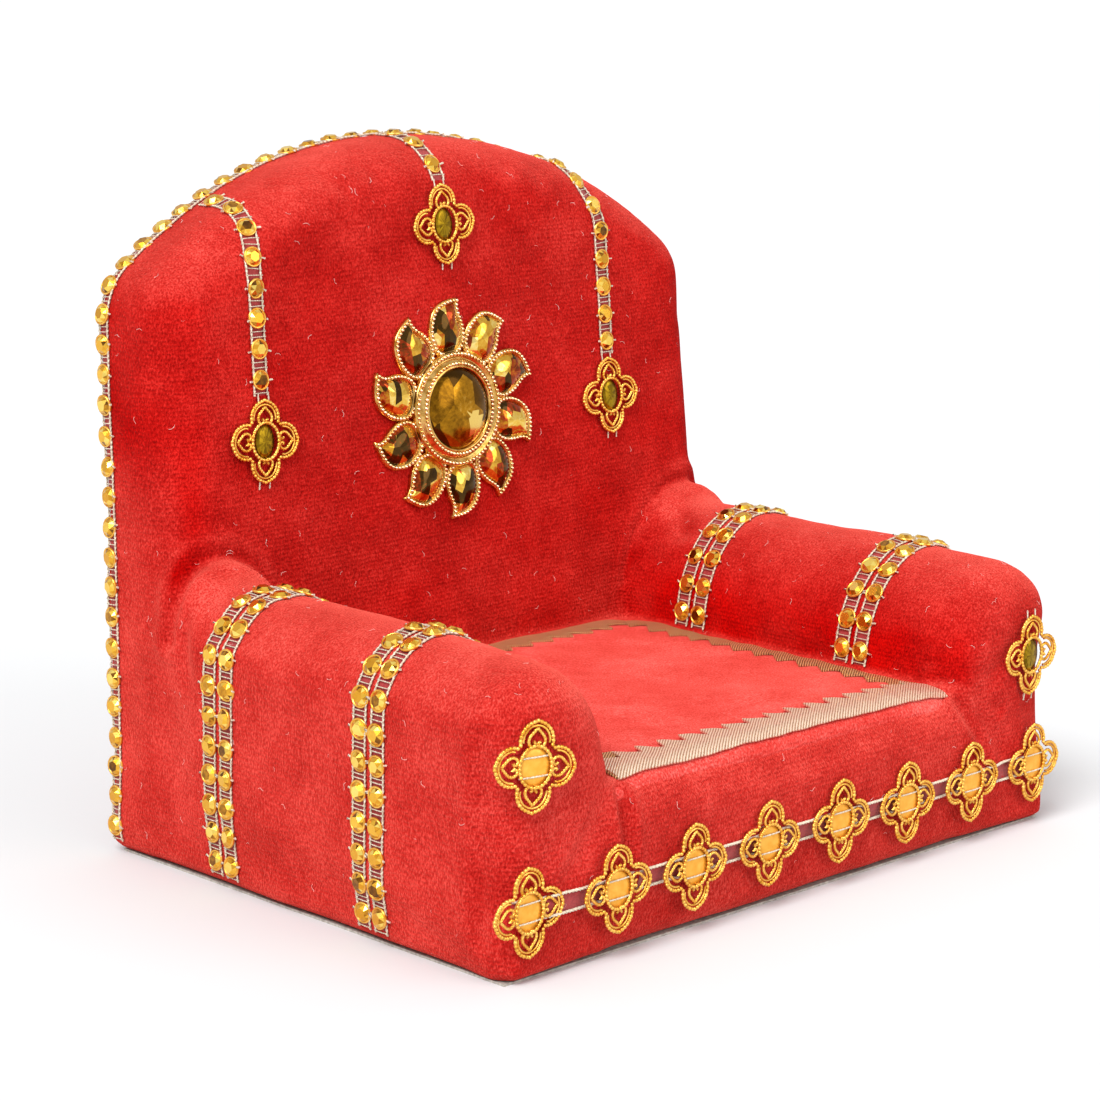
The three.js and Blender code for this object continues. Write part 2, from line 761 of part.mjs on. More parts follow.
function addBaseCard() {
  const width = bodyWidth - 2 * cardInset;
  const depth = bodyDepth - 2 * cardInset;
  const card = new THREE.BoxGeometry(width, depth, cardThickness);
  card.translate(0, 0, cardThickness / 2);
  place("base_card", card, finish(0xd9d6cf, 0.9, 0));
}

function addBody() {
  place("backrest", backrestGeometry(), velvet());
  arms.forEach((arm) => place(`${arm.name}_arm`, armGeometry(arm), velvet()));
  place("seat_block", seatGeometry(), velvet());
  place("seat_mat", matGeometry(), velvet());
}

function addBorders() {
  const inset = borderEdgeMargin + matRounding;
  const [left, right] = [matLeft + inset, matRight - inset];
  const [front, back] = [matFront + inset, matBack - inset];
  const strips = [
    ["front", right - left, 0, left, front, 0xe2bf8a],
    ["right", back - front, Math.PI / 2, right, front, 0xb98a6a],
    ["back", right - left, Math.PI, right, back, 0xb98a6a],
    ["left", back - front, -Math.PI / 2, left, back, 0xb98a6a],
  ];
  strips.forEach(([name, length, turn, x, y, colour]) => {
    const strip = borderGeometry(length);
    strip.rotateZ(turn);
    strip.translate(x, y, matTop + pieceGap);
    place(`mat_border_${name}`, strip, finish(colour, 0.5, 0.6));
  });
}

function addChains() {
  place("rim_chain", stoneStripGeometry(evenPlaces(rimPath()), 1, bandRowSpacing), gold());
  arms.forEach((arm) => {
    Object.entries(arm.bands).forEach(([end, fromFront]) => {
      const places = evenPlaces(armPath(arm, fromFront));
      place(`${arm.name}_arm_band_${end}`, stoneStripGeometry(places, 2, bandRowSpacing), gold());
    });
  });
}

function addHangingTrims() {
  hangingChains.forEach((chain) => {
    const places = evenPlaces(hangingPath(chain));
    place(`hanging_chain_${chain.name}`, stoneStripGeometry(places, 1, bandRowSpacing), gold());
    const centreZ = chain.bottomZ - motifHeight / 2 - hangingMotifSpacing;
    const point = backFrontPoint(chain.bottomX, centreZ).addScaledVector(backNormal, pieceGap);
    place(`hanging_motif_${chain.name}`, faceOut(motifGeometry(), point, backNormal), gold());
  });
}

function addFrontTrims() {
  const forward = new THREE.Vector3(0, -1, 0);
  const ribbon = new THREE.BoxGeometry(bodyWidth - 2 * ribbonEndMargin, ribbonThickness, ribbonHeight);
  ribbon.translate(0, frontY - pieceGap - ribbonThickness / 2, laceHeight);
  place("front_ribbon", ribbon, finish(0xb98a6a, 0.6, 0.4));
  const motifY = frontY - 2 * pieceGap - ribbonThickness;
  for (let index = 0; index < laceMotifCount; index += 1) {
    const x = (index - (laceMotifCount - 1) / 2) * laceMotifPitch - laceShift;
    const point = new THREE.Vector3(x, motifY, laceHeight);
    place(`front_motif_${index + 1}`, faceOut(motifGeometry(), point, forward), gold());
  }
  arms.forEach(({ name, side, motif }) => {
    const point = new THREE.Vector3(side * (halfWidth - motif.inset), frontY - pieceGap, motif.height);
    place(`${name}_arm_motif`, faceOut(motifGeometry(), point, forward), gold());
  });
}

function addMedallion() {
  const height = backHeight - medallionDrop;
  const point = backFrontPoint(-medallionShift, height).addScaledVector(backNormal, pieceGap);
  place("sun_medallion", faceOut(medallionGeometry(), point, backNormal), finish(0xc8862a, 0.2, 0.9));
}

addBaseCard();
addBody();
addBorders();
addChains();
addHangingTrims();
addFrontTrims();
addMedallion();

export default throne;
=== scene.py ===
# %% [markdown]
# A miniature velvet throne for a household shrine. The frame of solids gives every piece its place, and this
# script gives each piece its real look: plump velvet, twisted cords, mirror stones and gilt motifs.
# All lengths below are in millimetres, the way a maker would measure them, and MM turns them to metres.

# %% Load the frame
import math
import bmesh
import bpy
import numpy as np
from mathutils import Matrix, Vector
from mathutils.bvhtree import BVHTree


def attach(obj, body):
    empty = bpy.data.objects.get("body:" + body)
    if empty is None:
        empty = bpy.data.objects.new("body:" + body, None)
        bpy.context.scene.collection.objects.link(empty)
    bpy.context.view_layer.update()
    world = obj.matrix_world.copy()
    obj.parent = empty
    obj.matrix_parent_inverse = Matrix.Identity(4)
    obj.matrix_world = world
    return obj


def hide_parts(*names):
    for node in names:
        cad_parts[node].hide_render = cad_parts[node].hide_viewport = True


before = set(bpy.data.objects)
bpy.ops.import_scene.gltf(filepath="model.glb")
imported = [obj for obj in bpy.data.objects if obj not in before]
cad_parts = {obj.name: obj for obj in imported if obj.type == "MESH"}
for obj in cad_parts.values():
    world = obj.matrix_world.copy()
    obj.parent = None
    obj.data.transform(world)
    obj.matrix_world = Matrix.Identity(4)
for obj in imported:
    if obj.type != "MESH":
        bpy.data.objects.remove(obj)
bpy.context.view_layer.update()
MM = 0.001

# %% [markdown]
# The camera stands where a product photographer would: a long lens, a little above the seat, looking at the
# front-left corner. Its place and turn are plain numbers, so every later piece can be judged against one view.

# %% Camera
AZIMUTH, ELEVATION, ROLL = -0.78609, 0.19878, 0.01415
CAMERA_PLACE = (-428.43, -414.13, 179.60)
FOCAL_PIXELS, FRAME_PIXELS, SENSOR = 2995.91, 1100, 36.0


def camera_turn(azimuth, elevation, roll):
    """The camera's right, up and back directions as the columns of a turn."""
    level = math.cos(elevation)
    back = Vector((math.sin(azimuth) * level, -math.cos(azimuth) * level, math.sin(elevation)))
    right = Vector((math.cos(azimuth), math.sin(azimuth), 0))
    up = back.cross(right)
    turned_right = math.cos(roll) * right + math.sin(roll) * up
    turned_up = -math.sin(roll) * right + math.cos(roll) * up
    return Matrix((turned_right, turned_up, back)).transposed()


camera_data = bpy.data.cameras.new("camera")
camera_data.sensor_width = SENSOR
camera_data.lens = SENSOR * FOCAL_PIXELS / FRAME_PIXELS
camera = bpy.data.objects.new("camera", camera_data)
turn = camera_turn(AZIMUTH, ELEVATION, ROLL).to_4x4()
camera.matrix_world = Matrix.Translation(Vector(CAMERA_PLACE) * MM) @ turn
camera_data.clip_start, camera_data.clip_end = 0.01, 20
bpy.context.scene.collection.objects.link(camera)
bpy.context.scene.camera = camera
print("lens:", round(camera_data.lens, 2), "mm")

# %% [markdown]
# Two helpers serve every material and every Geometry Nodes tree. One turns a colour code, as read off a paint
# chart, into Blender's linear values. The other adds a node together with its settings and its links.

# %% Helpers for nodes and colours


def linear(code):
    """An sRGB hex colour as linear red, green, blue and alpha."""
    values = [int(code[i:i + 2], 16) / 255 for i in (1, 3, 5)]
    return [v / 12.92 if v <= 0.04045 else ((v + 0.055) / 1.055) ** 2.4 for v in values] + [1.0]


def first_output(source):
    """A node stands for its first output, and a socket for itself."""
    return source.outputs[0] if isinstance(source, bpy.types.Node) else source


def add(tree, kind, settings=None, values=None, links=None):
    """A new node, with its settings, the values of its sockets and what feeds them."""
    node = tree.nodes.new(kind)
    for key, value in (settings or {}).items():
        setattr(node, key, value)
    for key, value in (values or {}).items():
        node.inputs[key].default_value = value
    for key, source in (links or {}).items():
        tree.links.new(first_output(source), node.inputs[key])
    return node


def maths(tree, operation, *terms):
    """The result of a Math node whose terms are numbers or sockets."""
    numbers = {i: term for i, term in enumerate(terms) if isinstance(term, (int, float))}
    sockets = {i: term for i, term in enumerate(terms) if i not in numbers}
    return add(tree, "ShaderNodeMath", {"operation": operation}, numbers, sockets).outputs[0]


def object_place(tree):
    """The place on the piece itself, in metres, so that patterns keep their real size."""
    return add(tree, "ShaderNodeTexCoord").outputs["Object"]


def put_in_scene(name, mesh):
    """An object for a mesh, linked to the scene."""
    obj = bpy.data.objects.new(name, mesh)
    bpy.context.scene.collection.objects.link(obj)
    return obj


def new_material(name, values):
    """A material with one Principled shader, set from a table of its sockets."""
    material = bpy.data.materials.new(name)
    material.use_nodes = True
    tree = material.node_tree
    tree.nodes.clear()
    shader = add(tree, "ShaderNodeBsdfPrincipled", values=values)
    add(tree, "ShaderNodeOutputMaterial", links={"Surface": shader.outputs[0]})
    return material, tree, shader


def ramp(tree, factor, stops):
    """A colour ramp over a factor, from (place, sRGB hex colour) stops."""
    node = add(tree, "ShaderNodeValToRGB", links={"Fac": factor})
    elements = node.color_ramp.elements
    while len(elements) < len(stops):
        elements.new(0.5)
    for element, (place, code) in zip(elements, stops):
        element.position, element.color = place, linear(code)
    return node.outputs["Color"]


def colour_by(tree, shader, factor, places, codes):
    """The base colour from a ramp over a factor."""
    tree.links.new(ramp(tree, factor, list(zip(places, codes))), shader.inputs["Base Color"])


def feel(tree, shader, height, distance_mm, strength):
    """Bump from a height pattern, with its depth in millimetres."""
    bump = add(tree, "ShaderNodeBump", values={"Strength": strength, "Distance": distance_mm * MM},
               links={"Height": height})
    tree.links.new(bump.outputs[0], shader.inputs["Normal"])


def noise_pattern(tree, size_mm, detail, stretch=(1, 1, 1)):
    """Noise whose blots are about size_mm across, on Object coordinates."""
    mapping = add(tree, "ShaderNodeMapping", values={"Scale": stretch}, links={"Vector": object_place(tree)})
    return add(tree, "ShaderNodeTexNoise", values={"Scale": 1 / (size_mm * MM), "Detail": detail},
               links={"Vector": mapping}).outputs["Fac"]


WAVE_PITCH = 0.314  # a Wave texture of this scale has one band per unit of length
print("helpers ready")

# %% [markdown]
# Velvet is woven silk or polyester with a cut pile. The pile stands a little less than a millimetre high and
# leans, so it glows where the eye meets it edge-on and turns deep where it points at the eye. Sheen on the
# shader gives that glow, blotches of colour give the brushed pile, and a fine rib gives the rows of the weave.
# An attribute on the mesh, the nap, says where the pile is brushed pale and where it is brushed deep, and it
# also
# holds painted light and shade: paler on faces turned up, deeper in the recess of the right arm and low on the
# backrest.

# %% Velvet
SHADES = {
    # The deep and pale ramps are mixed by the mesh attribute, which holds painted light and shade as well as the
    # pile.
    "deep": ("#840000", "#A60100", "#C80703"),
    "pale": ("#A41712", "#C5312A", "#E4594F"),
    # The mat's ramps are paler than the body's: painted light on the seat top, which faces up.
    "mat_deep_top_lit": ("#BC1F1A", "#D73832", "#EE6058"),
    "mat_pale_top_lit": ("#C42924", "#DF4B44", "#F67E76"),
}


def velvet_material(name, deep, pale):
    material, tree, shader = new_material(name, {
        "Roughness": 0.92, "Sheen Roughness": 0.4, "Sheen Tint": linear("#FF7060"),
        "Specular IOR Level": 0.06, "IOR": 1.46})
    pile_and_painted_light = add(tree, "ShaderNodeAttribute", {"attribute_name": "pile_and_painted_light"}).outputs["Fac"]
    brushed = noise_pattern(tree, 13, 3.0)
    mottled = noise_pattern(tree, 3.0, 4.0, (1, 1, 1.3))
    pile = noise_pattern(tree, 0.34, 3.0, (1, 1, 0.55))
    blend = maths(tree, "MULTIPLY_ADD", pile, 2.1, maths(tree, "MULTIPLY_ADD", mottled, 0.35, brushed))
    spread = add(tree, "ShaderNodeMapRange", values={"From Min": 1.26, "From Max": 2.19},
                 links={"Value": blend}).outputs[0]
    colours = [ramp(tree, spread, list(zip((0.0, 0.5, 1.0), shades))) for shades in (deep, pale)]
    # The attribute mixes the two ramps, so the painted light and shade it holds go into the base colour; it also
    # sets the sheen weight.
    mix = add(tree, "ShaderNodeMix", {"data_type": "RGBA"}, links={0: pile_and_painted_light, 6: colours[0], 7: colours[1]})
    tree.links.new(mix.outputs[2], shader.inputs["Base Color"])
    tree.links.new(pile_and_painted_light, shader.inputs["Sheen Weight"])
    mapping = add(tree, "ShaderNodeMapping", values={"Rotation": (0.0, 0.02, 0.0)},
                  links={"Vector": object_place(tree)})
    rows = add(tree, "ShaderNodeTexWave", {"wave_type": "BANDS", "bands_direction": "Z"},
               {"Scale": WAVE_PITCH / (0.85 * MM), "Distortion": 3.0, "Detail": 2.0, "Detail Scale": 1.2},
               {"Vector": mapping}).outputs["Fac"]
    height = maths(tree, "MULTIPLY_ADD", mottled, 0.5, maths(tree, "MULTIPLY_ADD", rows, 0.16, pile))
    feel(tree, shader, height, 0.5, 0.9)
    return material


VELVET = velvet_material("velvet_cut_pile", SHADES["deep"], SHADES["pale"])
MAT_VELVET = velvet_material("velvet_cut_pile_mat", SHADES["mat_deep_top_lit"], SHADES["mat_pale_top_lit"])
print("velvets:", VELVET.name, MAT_VELVET.name)

# %% [markdown]
# The body is four foam blocks, the backrest, two arms and the seat, glued together and wrapped in one skin of
# velvet, so no seam shows where they meet. Each block starts as a stack of closed outlines at the same sizes as
# the frame's solids, only with more points. The blocks reach a little into each other, and one remesh fuses
# them into the skin.

# %% Sizes of the body
BODY_WIDTH, BODY_DEPTH, BACK_HEIGHT, GAP = 161.0, 114.0, 140.5, 0.3
FRONT, FLOOR = -BODY_DEPTH / 2, 0.4
HALF_WIDTH = BODY_WIDTH / 2
BACK_THICKNESS, ARCH_RADIUS, SHOULDER_RADIUS = 22.0, 118.0, 12.0
LEAN = math.tan(math.radians(4.75))
ARCH_CENTRE = BACK_HEIGHT - ARCH_RADIUS
HALF_TOP = HALF_WIDTH - 4.5
SHOULDER_HEIGHT = ARCH_CENTRE + math.sqrt(ARCH_RADIUS ** 2 - HALF_TOP ** 2)
TAPER = 4.5 / SHOULDER_HEIGHT
FRONT_ROUNDING, REAR_ROUNDING, EDGE_BLEND = 11.5, 2.0, 9.0
BLOCK_OVERLAP = 4.0
ARM_HEIGHT, ARM_ROUNDING = 57.2, 10
FRONT_FALL, FALL_LENGTH, REAR_RISE = 2, 34, 3
ARM_WIDTHS = {-1: 29.0, 1: 32.5}
SEAT_HEIGHT, MAT_TOP = 30.9, 33.4


def smooth(value, low, high):
    """A smooth step from 0 at low to 1 at high."""
    share = np.clip((value - low) / (high - low), 0, 1)
    return share * share * (3 - 2 * share)


def back_front(z):
    """How far back the leaning face of the backrest stands at a height."""
    return BODY_DEPTH / 2 - BACK_THICKNESS + LEAN * z


def back_half_width(z):
    return HALF_WIDTH - TAPER * z


print("shoulder at", round(SHOULDER_HEIGHT, 1), "mm")

# %% A closed surface from a stack of outlines


def quads(rows, columns, closed=False):
    """Faces between rows of points. A closed row joins its last point to its first."""
    return [(r * columns + k, r * columns + (k + 1) % columns,
             (r + 1) * columns + (k + 1) % columns, (r + 1) * columns + k)
            for r in range(rows - 1) for k in range(columns if closed else columns - 1)]


def flipped(faces, shift=0):
    """The same faces seen from the other side, with their points' numbers moved on by a shift."""
    return [(a + shift, d + shift, c + shift, b + shift) for a, b, c, d in faces]


def stacked(loops):
    """Vertices and faces of a closed shape from outlines with equal numbers of points, ends closed by fans."""
    loops = np.array(loops, float)
    rings, count = loops.shape[:2]
    points = np.concatenate([loops.reshape(-1, 3), loops[[0, -1]].mean(1)])
    faces = quads(rings, count, True)
    first, last, end = rings * count, rings * count + 1, (rings - 1) * count
    for i in range(count):
        j = (i + 1) % count
        faces += [(first, j, i), (last, end + i, end + j)]
    return points, faces


def raw_mesh(name, points, faces=(), edges=()):
    """A mesh in metres from points in millimetres."""
    mesh = bpy.data.meshes.new(name)
    mesh.from_pydata([tuple(p) for p in np.asarray(points, float) * MM], list(edges), list(faces))
    return mesh


def mesh_of(name, points, faces):
    """A closed mesh with its faces turned outwards."""
    mesh = raw_mesh(name, points, faces)
    mesh.validate()
    triangles = [(f[0], f[i], f[i + 1]) for f in faces for i in range(1, len(f) - 1)]
    corners = np.asarray(points, float)[np.array(triangles)]
    volume = np.einsum("ij,ij->i", corners[:, 0], np.cross(corners[:, 1], corners[:, 2])).sum()
    if volume < 0:
        mesh.flip_normals()
    return mesh


def backrest_outline():
    """The backrest from the front, up the right side, over shoulder and arch, and down the left side."""
    side = np.array([1, TAPER]) / math.hypot(1, TAPER)
    offset = HALF_WIDTH * side[0] - SHOULDER_RADIUS - side[1] * ARCH_CENTRE
    low_angle = math.atan2(side[1], side[0])
    high_angle = low_angle + math.acos(offset / (ARCH_RADIUS - SHOULDER_RADIUS))
    inner = ARCH_RADIUS - SHOULDER_RADIUS
    centre = np.array([inner * math.cos(high_angle), ARCH_CENTRE + inner * math.sin(high_angle)])
    top = centre + side * SHOULDER_RADIUS
    half = [(back_half_width(z), z, *side) for z in np.linspace(FLOOR, top[1], 60)]
    for angle in np.linspace(low_angle, high_angle, 10)[1:-1]:
        normal = np.array([math.cos(angle), math.sin(angle)])
        half.append((*(centre + SHOULDER_RADIUS * normal), *normal))
    for angle in np.linspace(high_angle, math.pi / 2, 50):
        c, s = math.cos(angle), math.sin(angle)
        half.append((ARCH_RADIUS * c, ARCH_CENTRE + ARCH_RADIUS * s, c, s))
    other = [(-x, z, -nx, nz) for x, z, nx, nz in half[-2::-1]]
    return np.array(half + other)


def backrest_shape():
    outline = backrest_outline()
    share = smooth(outline[:, 1], ARM_HEIGHT - EDGE_BLEND, ARM_HEIGHT + EDGE_BLEND)

    def loop(depth, inset):
        x = outline[:, 0] - outline[:, 2] * inset * share
        z = np.maximum(FLOOR, outline[:, 1] - outline[:, 3] * inset * share)
        return np.stack([x, back_front(z) + depth, z], 1)

    loops = [loop(BACK_THICKNESS, REAR_ROUNDING), loop(BACK_THICKNESS - REAR_ROUNDING * 0.6, 0.2)]
    loops.append(loop(BACK_THICKNESS - REAR_ROUNDING, 0))
    for angle in np.linspace(0, math.pi / 2, 9):
        loops.append(loop(FRONT_ROUNDING * (1 - math.sin(angle)), FRONT_ROUNDING * (1 - math.cos(angle))))
    return stacked(loops)


print("backrest outline:", len(backrest_outline()), "points")

# %% The arms


def arm_outline(width):
    """An arm's section: up the seat side, over the long inner slope and the tight outer roll, and down."""
    roll_width, roll_height, slope_height = 12.6, 12.2, 23.0
    inner, crest = HALF_WIDTH - width, HALF_WIDTH - roll_width
    section = [(inner, z) for z in np.linspace(FLOOR, ARM_HEIGHT - slope_height, 14)[:-1]]
    for across, up, angles in ((width - roll_width, slope_height, np.linspace(math.pi, math.pi / 2, 18)),
                               (roll_width, roll_height, np.linspace(math.pi / 2, 0, 14)[1:])):
        section += [(crest + across * math.cos(a), ARM_HEIGHT - up + up * math.sin(a)) for a in angles]
    section += [(HALF_WIDTH, z) for z in np.linspace(ARM_HEIGHT - roll_height, FLOOR, 16)[1:]]
    return np.array(section)


def arm_shape(side):
    section = arm_outline(ARM_WIDTHS[side])
    ahead, behind = np.roll(section, -1, 0), np.roll(section, 1, 0)
    ahead[-1], behind[0] = section[-1], section[0]
    run = ahead - behind
    normal = np.stack([-run[:, 1], run[:, 0]], 1) / np.linalg.norm(run, axis=1)[:, None]
    x0, z0 = section[:, 0], section[:, 1]
    share = 0.2 + 0.8 * smooth(z0, 0, ARM_HEIGHT * 0.65)
    on_floor = z0 <= FLOOR + 1e-6

    def loop(depth=None, rear=None, inset=0.0):
        front_share = 0 if depth is None else max(0, 1 - depth / FALL_LENGTH)
        rear_share = 0 if rear is None else 1 - smooth(rear, 0, 10)
        fall = FRONT_FALL * front_share * (z0 / ARM_HEIGHT) ** 4
        rise = REAR_RISE * rear_share * (z0 / ARM_HEIGHT) ** 4
        z = np.where(on_floor, z0, z0 - normal[:, 1] * inset * share - fall + rise)
        limit = HALF_WIDTH + (back_half_width(z) - HALF_WIDTH) * rear_share
        x = np.minimum(x0 - normal[:, 0] * inset * share, limit)
        y = back_front(z) - GAP - rear if depth is None else np.full_like(z, FRONT + depth)
        return np.stack([side * x, y, z], 1)

    loops = [loop(rear=r) for r in np.linspace(-BLOCK_OVERLAP, 10, 9)]
    loops += [loop(depth=d) for d in np.linspace(80, 12, 14)]
    for angle in np.linspace(0, math.pi / 2, 10):
        loops.append(loop(depth=ARM_ROUNDING * (1 - math.sin(angle)),
                          inset=ARM_ROUNDING * (1 - math.cos(angle))))
    return stacked(loops)


print("arm section:", len(arm_outline(ARM_WIDTHS[-1])), "points")

# %% The seat block and the mat
SEAT_LEFT = -HALF_WIDTH + ARM_WIDTHS[-1] + GAP
SEAT_RIGHT = HALF_WIDTH - ARM_WIDTHS[1] - GAP
SEAT_SETBACK, SEAT_ROUNDING = 0.2, 2.2
MAT_SETBACK, MAT_DEPTH, MAT_THICKNESS, MAT_ROLL = 1.1, 93.7, 3.2, 4


def box_loop(left, right, front, back, z, steps=24):
    """Points round a rectangle, evenly spaced along each side."""
    corners = [(left, front), (right, front), (right, back), (left, back)]
    points = []
    for (ax, ay), (bx, by) in zip(corners, corners[1:] + corners[:1]):
        points += [(ax + (bx - ax) * t / steps, ay + (by - ay) * t / steps, z) for t in range(steps)]
    return np.array(points)


def seat_shape():
    def loop(drop, setback):
        z = SEAT_HEIGHT - drop
        return box_loop(SEAT_LEFT - BLOCK_OVERLAP, SEAT_RIGHT + BLOCK_OVERLAP,
                        FRONT + SEAT_SETBACK + setback, back_front(z) + BLOCK_OVERLAP, z)

    loops = [loop(drop, 0) for drop in np.linspace(SEAT_HEIGHT - FLOOR, SEAT_ROUNDING, 8)]
    for angle in np.linspace(0, math.pi / 2, 8)[1:]:
        loops.append(loop(SEAT_ROUNDING * (1 - math.sin(angle)), SEAT_ROUNDING * (1 - math.cos(angle))))
    return stacked(loops)


def mat_top(x, y):
    """The height of the mat: domed a little, lower beside the arms, and rolled down over the front edge."""
    z = MAT_TOP - 1.1 * smooth(x, SEAT_RIGHT - 9, SEAT_RIGHT) - 0.6 * smooth(-x, -SEAT_LEFT - 8, -SEAT_LEFT)
    z -= 0.9 * smooth(y, 28, 37) + 0.4 * np.exp(-((x - 46) ** 2 + (y + 54) ** 2) / 180)
    ahead = np.clip(y - FRONT - MAT_SETBACK, 0, MAT_ROLL)
    return z - (MAT_ROLL - np.sqrt(np.maximum(0, MAT_ROLL ** 2 - (MAT_ROLL - ahead) ** 2)))


def mat_shape():
    columns, rows = 90, 84
    x, y = np.meshgrid(np.linspace(SEAT_LEFT - 0.8, SEAT_RIGHT + 0.8, columns),
                       FRONT + MAT_SETBACK + MAT_DEPTH * np.linspace(0, 1, rows) ** 1.25)
    top = np.stack([x, y, mat_top(x, y)], 2).reshape(-1, 3)
    points = np.concatenate([top, top - (0, 0, MAT_THICKNESS)])
    faces, count = [], rows * columns
    for face in quads(rows, columns):
        faces += [face, *flipped([face], count)]
    edge = [*range(columns), *range(2 * columns - 1, count, columns),
            *range(count - 2, count - columns - 1, -1), *range(count - 2 * columns, 0, -columns)]
    faces += [(b, a, a + count, b + count) for a, b in zip(edge, edge[1:] + edge[:1])]
    return points, faces


print("seat from", round(SEAT_LEFT, 1), "to", round(SEAT_RIGHT, 1), "mm")

# %% [markdown]
# Padding is what makes cloth look filled. The shape is first remeshed, so that its faces are even, and drawn in
# a little. Then Blender's Cloth blows it up from inside with gravity off. The block is only 16 cm wide, and
# cloth behaves best near a metre, so the simulation runs on a copy ten times as large. How far a point may
# move is capped, because the real pad is foam glued to card and barely swells.

# %% Padding by cloth simulation
SCALE_UP = 10.0


def rows_of(elements, name):
    """One vector for each vertex or face of a mesh, such as its place or normal, as the rows of an array."""
    values = np.empty(len(elements) * 3)
    elements.foreach_get(name, values)
    return values.reshape(-1, 3)


def shade_smooth(mesh, wanted=True):
    mesh.polygons.foreach_set("use_smooth", [wanted] * len(mesh.polygons))


def evaluated(obj):
    """The object's mesh with its modifiers applied, as a new mesh."""
    graph = bpy.context.evaluated_depsgraph_get()
    return bpy.data.meshes.new_from_object(obj.evaluated_get(graph), depsgraph=graph)


def with_modifiers(obj, *steps):
    """Applies modifiers, given as (kind, settings) pairs, and leaves none on the object."""
    for kind, settings in steps:
        modifier = obj.modifiers.new(kind.title(), kind)
        for key, value in settings.items():
            setattr(modifier, key, value)
    old, obj.data = obj.data, evaluated(obj)
    obj.modifiers.clear()
    bpy.data.meshes.remove(old)


def blow_up(obj, pressure, steps):
    """The places of a mesh's points after its cloth was blown up for some frames."""
    cloth = obj.modifiers.new("Padding", "CLOTH")
    settings = cloth.settings
    settings.quality, settings.mass = 3, 0.3
    settings.tension_stiffness = settings.compression_stiffness = 30
    settings.shear_stiffness, settings.bending_stiffness = 15, 4
    settings.use_pressure, settings.uniform_pressure_force = True, pressure
    settings.effector_weights.gravity = 0
    cloth.point_cache.frame_start, cloth.point_cache.frame_end = 1, steps
    for step in range(1, steps + 1):
        bpy.context.scene.frame_set(step)
    blown = evaluated(obj)
    places = rows_of(blown.vertices, "co")
    bpy.data.meshes.remove(blown)
    obj.modifiers.clear()
    bpy.context.scene.frame_set(1)
    return places


def padded_block(name, shapes, voxel, inset, cap, pressure=4.0, steps=10):
    """A padded piece from overlapping shapes: fused by a remesh, drawn in, blown up as cloth by no more than a
    cap, and subdivided once."""
    points, faces = [], []
    for shape in shapes:
        part = mesh_of(name + "_part", *shape)
        faces += [[v + len(points) for v in polygon.vertices] for polygon in part.polygons]
        points += [tuple(v.co) for v in part.vertices]
        bpy.data.meshes.remove(part)
    fused = bpy.data.meshes.new(name)
    fused.from_pydata(points, [], faces)
    obj = put_in_scene(name, fused)
    obj.data.transform(Matrix.Scale(SCALE_UP, 4))
    big = MM * SCALE_UP
    with_modifiers(obj, ("REMESH", {"mode": "VOXEL", "voxel_size": voxel * big}),
                   ("SMOOTH", {"factor": 0.5, "iterations": 2}))
    mesh = obj.data
    start = rows_of(mesh.vertices, "co")
    drawn = start - rows_of(mesh.vertices, "normal") * inset * MM * SCALE_UP
    drawn[:, 2] = np.maximum(drawn[:, 2], start[:, 2].min())
    mesh.vertices.foreach_set("co", drawn.ravel())
    travel = blow_up(obj, pressure, steps) - drawn
    length = np.linalg.norm(travel, axis=1, keepdims=True)
    travel *= np.minimum(1, cap * big / np.maximum(length, 1e-9))
    mesh.vertices.foreach_set("co", (drawn + travel).ravel())
    mesh.update()
    with_modifiers(obj, ("SUBSURF", {"levels": 1, "render_levels": 1}))
    obj.data.transform(Matrix.Scale(1 / SCALE_UP, 4))
    shade_smooth(obj.data)
    print(name, len(obj.data.vertices), "points, swelled by up to", round(float(length.max()) / big, 2), "mm")
    return obj


blocks = [backrest_shape(), arm_shape(-1), arm_shape(1), seat_shape()]
body = padded_block("velvet_body", blocks, voxel=1.9, inset=-0.3, cap=0.75)
mat = padded_block("velvet_mat", [mat_shape()], voxel=1.1, inset=0.0, cap=0.15)

# %% [markdown]
# A wrapped block is never quite even. Slow waves give the foam under the velvet, a few creases show where the
# cloth was pulled round a corner, and folds rise where the arms run into the backrest. Each crease is a line of
# points on the surface: skin near it is pressed in, and the skin beside it stands up a little.

# %% Waves and creases


def joint_line(side, start, end):
    """The line where an arm's top meets the face of the backrest, from one place of its section to another."""
    section = arm_outline(ARM_WIDTHS[side])
    points = [(side * x, back_front(z + 2.5) - GAP, z + REAR_RISE * (z / ARM_HEIGHT) ** 4 + 0.3)
              for x, z in section if z > 30]
    return points[start:len(points) - end]


